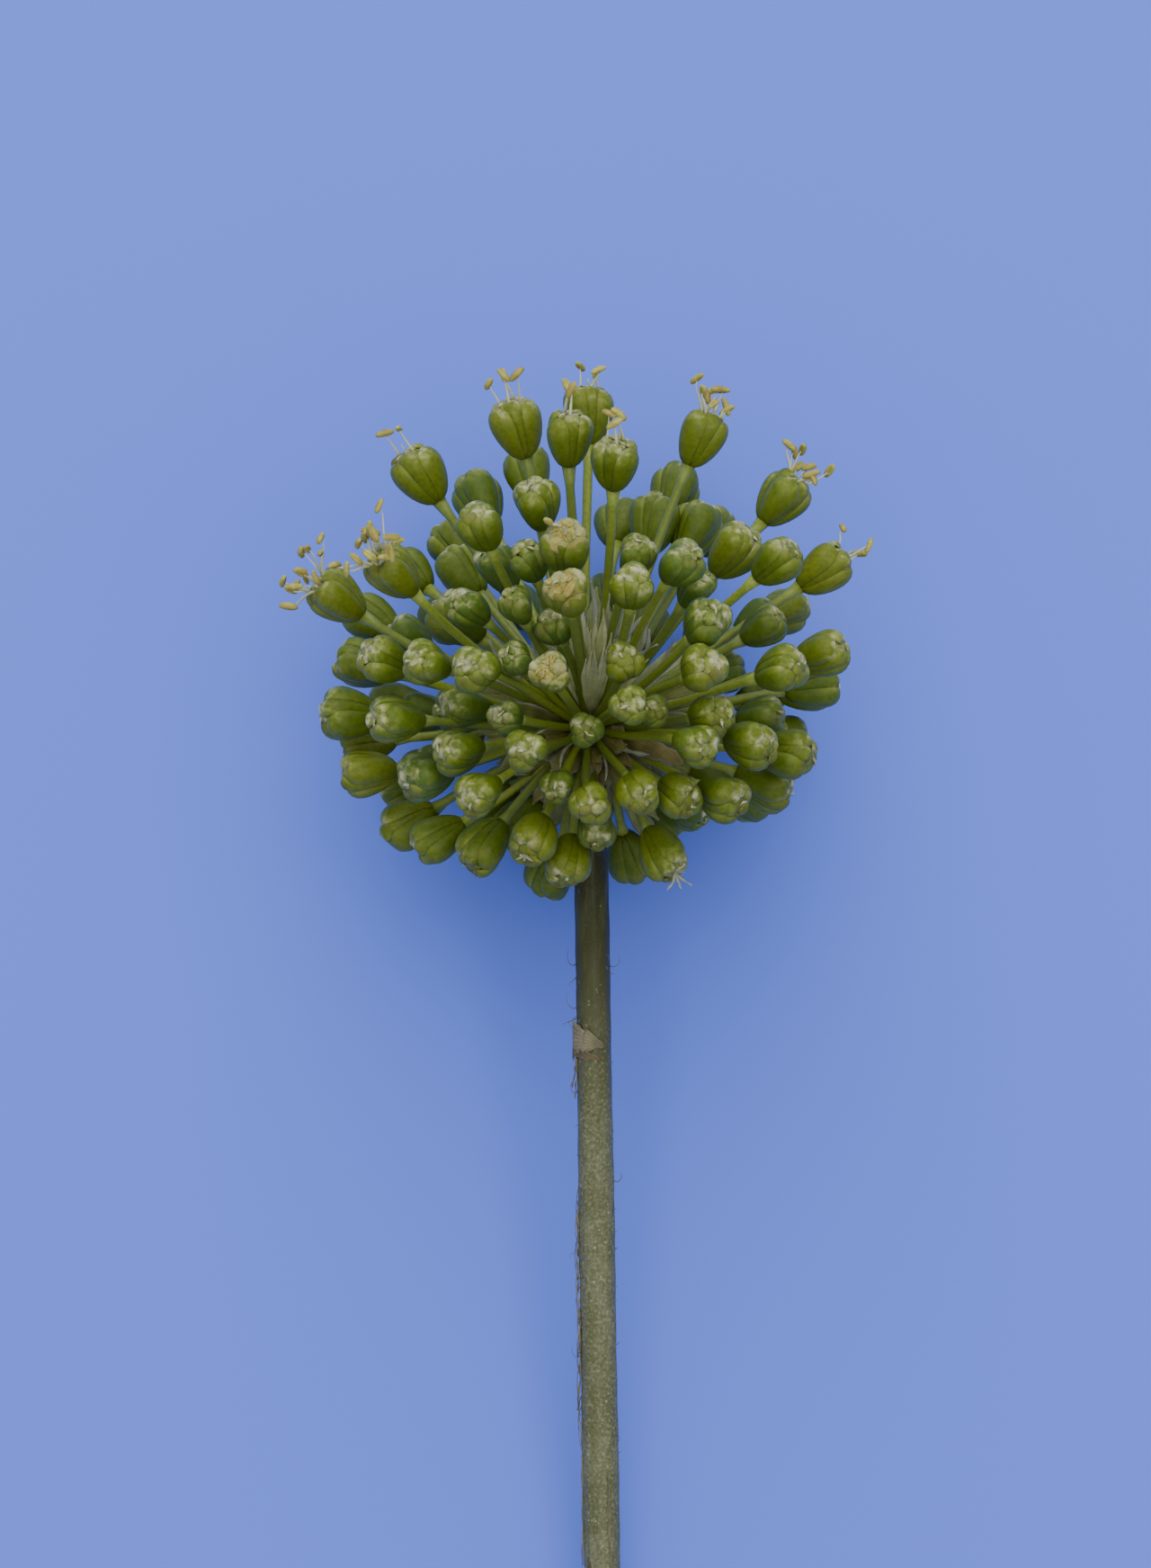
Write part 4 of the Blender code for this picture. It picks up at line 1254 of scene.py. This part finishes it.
class AlliumBuildSkinShreds(Operator):
    """Builds the torn strips, fibres and spurs of the scape's skin"""

    bl_idname = "allium.build_skin_shreds"
    bl_label = "Torn Skin"

    def execute(self, context):
        pale = membrane_finish("skin_pale", (122, 116, 88), (88, 82, 56), (140, 136, 108), rim=0.15)
        dark = membrane_finish("skin_dark", (66, 54, 34), (98, 84, 56), (120, 104, 74))
        bundle = Bundle("along", "across")
        skin_patch(bundle, 23.0, -92, 34, 1.3, 0.3, PALE_SKIN, 1)
        skin_patch(bundle, 24.0, -86, 18, 0.35, 0.2, DARK_SKIN, 2)
        for strip in SKIN_STRIPS:
            skin_strip(bundle, *strip)
        for below, turn, reach, curl, slot in CURLED_FIBRES:
            start, out = on_scape(below, turn, -0.05)
            points = [start, start + out * reach * 0.5 - CROWN * 0.5,
                      start + out * reach + CROWN * curl * 0.5, start + out * reach * 0.7 + CROWN * curl]
            fibre(bundle, points, 0.04, slot, 5, 14)
        rng = chance(3)
        for _ in range(TORN_LOOPS):
            below, long = rng.uniform(34, 51), rng.uniform(1.2, 4.0)
            turn = rng.uniform(-100, -70)
            bulge = rng.uniform(0.15, 0.45)
            ends, out = on_scape([below, below + long], [turn, turn + rng.uniform(-6, 6)])
            pulled = ends + out * bulge + CROWN * 0.2 * long * np.array([[-1], [1]])
            fibre(bundle, [ends[0], *pulled, ends[1]], 0.045)
        for _ in range(BRISTLES):
            below, turn = 14 + 60 * rng.random() ** 0.8, rng.uniform(-180, 180)
            start, out = on_scape(below, turn, -0.03)
            reach = rng.uniform(0.12, 0.34)
            tip = start + out * reach + CROWN * rng.uniform(-0.3, 0.3)
            points = [start, start + out * reach * 0.5, tip, tip + CROWN * rng.uniform(-0.1, 0.1)]
            fibre(bundle, points, 0.035, rows=4)
        claim(bundle.piece("scape_torn_skin", [pale, dark]), "scape")
        return {"FINISHED"}


class AlliumBuildBracteoles(Operator):
    """Builds the papery, torn blades between the pedicels and the wisps round them"""

    bl_idname = "allium.build_bracteoles"
    bl_label = "Bracteoles"

    def execute(self, context):
        paper = membrane_finish("bracteole_paper", (222, 227, 170), (192, 200, 136), (232, 234, 196))
        white = membrane_finish("wisp_white", (182, 186, 158), (150, 156, 112), (200, 200, 176))
        chaff = membrane_finish("chaff_olive", (128, 136, 60), (100, 108, 40), (146, 148, 90), rim=0.3)
        litter = membrane_finish("litter_brown", (140, 136, 72), (106, 104, 48), (140, 134, 84), rim=0.1)
        for order, blade in enumerate(BRACTEOLES, 1):
            bundle = Bundle("along", "across")
            torn_blade(bundle, *blade, order)
            finish = chaff if order == 3 else paper
            claim(bundle.piece(f"bracteole_blade_{order:02}", [finish]), "bracteole", f"bracteole_{order:02}")
        wisps, fan = Bundle("along", "across"), Bundle("along", "across")
        for seed, row in enumerate(WISPS):
            wisp(wisps, *row, 0.3, seed)
        for seed, (drop, turn, reach) in enumerate(HANGING_WISPS):
            way = direction(drop, turn)
            foot = floret_middle(drop, turn, 1.0) + way * 1.6
            for k in range(3):
                lean = unit(way + np.array([0.5 - 0.5 * k, -0.3, 0.1])) * reach
                points = [foot, foot + way * reach * 0.5, foot + lean * 0.8,
                          foot + lean - RIGHT * 0.3 * (k - 1)]
                ribbon(wisps, points, 0.22, seed + k)
        for seed, blade in enumerate(FAN_BLADES):
            torn_blade(fan, *blade, 4, 50 + seed)
        behind = scattered_blades(lambda drop, front: drop < 150 and front < 0.3, 11.0, 1.5, 4, 1.7)
        before = scattered_blades(lambda drop, front: 86 < drop < 155 and front >= 0.1, 7.6, 1.3, 3, 1.6)
        pieces = (("umbel_wisps", wisps, white), ("umbel_fan", fan, paper), ("umbel_chaff", behind, chaff),
                  ("umbel_litter", before, litter))
        for name, bundle, finish in pieces:
            claim(bundle.piece(name, [finish]), "bracteole")
        return {"FINISHED"}


class AlliumBuildSpathe(Operator):
    """Builds the brown remnant of the spathe at the umbel's base"""

    bl_idname = "allium.build_spathe"
    bl_label = "Spathe Remnant"

    def execute(self, context):
        finish = membrane_finish("spathe_brown", (134, 120, 64), (102, 92, 44), (152, 142, 92), rim=0.25)
        drop, turn, tip = SPATHE_REMNANT
        t = np.linspace(0, 1, 30)
        path = MIDDLE + direction(drop, turn) * (1.8 + (tip - 1.8) * t)[:, None]
        path = path - CROWN * (0.5 * t * t)[:, None]
        frayed = 1 + 0.12 * np.sin(17 * t) + 0.08 * np.sin(31 * t)
        half = 0.8 * np.sin(math.pi * (0.1 + 0.84 * t)) ** 0.6 * frayed
        bundle = Bundle("along", "across")
        bundle.add_sheet(path, FRONT, half, cup=0.3, wave=0.16, waves=4, phase=1.0)
        for seed, (drop, turn, tip) in enumerate(SPATHE_BLADES):
            torn_blade(bundle, drop, turn, tip, 1.1, 3, 30 + seed)
        claim(bundle.piece("spathe_membrane", [finish]), "spathe", "spathe_remnant")
        return {"FINISHED"}


def area_light(name, place, aim, size, power, tint):
    """A square soft light at a place, turned to its aim."""
    data = bpy.data.lights.new(name, "AREA")
    data.shape, data.size, data.energy, data.color = "SQUARE", size, power, tint
    lamp = bpy.data.objects.new(name, data)
    bpy.context.scene.collection.objects.link(lamp)
    lamp.location = place
    lamp.rotation_euler = (Vector(aim) - Vector(place)).to_track_quat("-Z", "Y").to_euler()


class AlliumBuildStage(Operator):
    """Lays the floor and sets the lights and the camera"""

    bl_idname = "allium.build_stage"
    bl_label = "Stage"

    def execute(self, context):
        look = context.scene.allium_stage
        scene = context.scene
        make = Finish("floor_paper", 0.85)
        haze = make.noise(400.0, 1.0)
        tone = tuple(look.floor)
        make.finish(make.layers(tone, (haze, 0.3, 0.7, tuple(x * 0.97 for x in tone))))
        mesh = bpy.data.meshes.new("floor")
        low = FLOOR * MM - 0.0002
        mesh.from_pydata([(-4, -4, low), (4, -4, low), (4, 4, low), (-4, 4, low)], [], [(0, 1, 2, 3)])
        mesh.materials.append(make.material)
        floor = bpy.data.objects.new("floor", mesh)
        scene.collection.objects.link(floor)

        head = Vector((MIDDLE + CROWN * SHELL_RISE) * MM)
        for name, offset, size, power, tint in (
            ("key_light", (-0.08, 0.8, 0.56), 1.0, look.key_power, (1.0, 0.98, 0.88)),
            ("fill_light", (0.05, 0.0, 0.75), 0.8, look.fill_power, (1.0, 0.99, 0.88)),
        ):
            area_light(name, head + Vector(offset), head, size, power, tint)
        world = bpy.data.worlds.new("studio")
        world.use_nodes = True
        sky = world.node_tree.nodes["Background"]
        sky.inputs["Color"].default_value = (1.0, 1.0, 0.95, 1)
        sky.inputs["Strength"].default_value = look.sky
        scene.world = world

        lens = bpy.data.cameras.new("camera")
        lens.lens, lens.sensor_width, lens.clip_start = look.lens, SENSOR_WIDTH, 0.01
        camera = bpy.data.objects.new("camera", lens)
        scene.collection.objects.link(camera)
        aim = MIDDLE - RIGHT * 1.0 - CROWN * 4.1
        distance = look.view_height * look.lens / SENSOR_WIDTH
        turned = Matrix([Vector(RIGHT), Vector(CROWN), Vector(FRONT)]).transposed().to_4x4()
        camera.matrix_world = Matrix.Translation(Vector((aim + FRONT * distance) * MM)) @ turned
        scene.camera = camera
        return {"FINISHED"}


BUILDERS = (
    AlliumBuildFlorets,
    AlliumBuildStamens,
    AlliumBuildReceptacle,
    AlliumBuildScape,
    AlliumBuildSkinShreds,
    AlliumBuildBracteoles,
    AlliumBuildSpathe,
    AlliumBuildStage,
)
LOOKS = {
    "allium_florets": AlliumFloretLook,
    "allium_stamens": AlliumStamenLook,
    "allium_scape": AlliumScapeLook,
    "allium_stage": AlliumStageLook,
}


class AlliumPanel(Panel):
    """Lists the builders and what they read"""

    bl_idname = "VIEW3D_PT_allium"
    bl_label = "Allium Flower Head"
    bl_space_type = "VIEW_3D"
    bl_region_type = "UI"
    bl_category = "Allium"

    def draw(self, context):
        for name in LOOKS:
            look = getattr(context.scene, name)
            box = self.layout.box()
            for key in look.__annotations__:
                box.prop(look, key)
        for builder in BUILDERS:
            self.layout.operator(builder.bl_idname)


def register():
    for made in (*LOOKS.values(), *BUILDERS, AlliumPanel):
        bpy.utils.register_class(made)
    for name, look in LOOKS.items():
        setattr(bpy.types.Scene, name, PointerProperty(type=look))


def unregister():
    for name in LOOKS:
        delattr(bpy.types.Scene, name)
    for made in reversed((*LOOKS.values(), *BUILDERS, AlliumPanel)):
        bpy.utils.unregister_class(made)


def main():
    """Builds everything."""
    register()
    for builder in BUILDERS:
        group, name = builder.bl_idname.split(".")
        getattr(getattr(bpy.ops, group), name)()


if __name__ == "__main__":
    main()
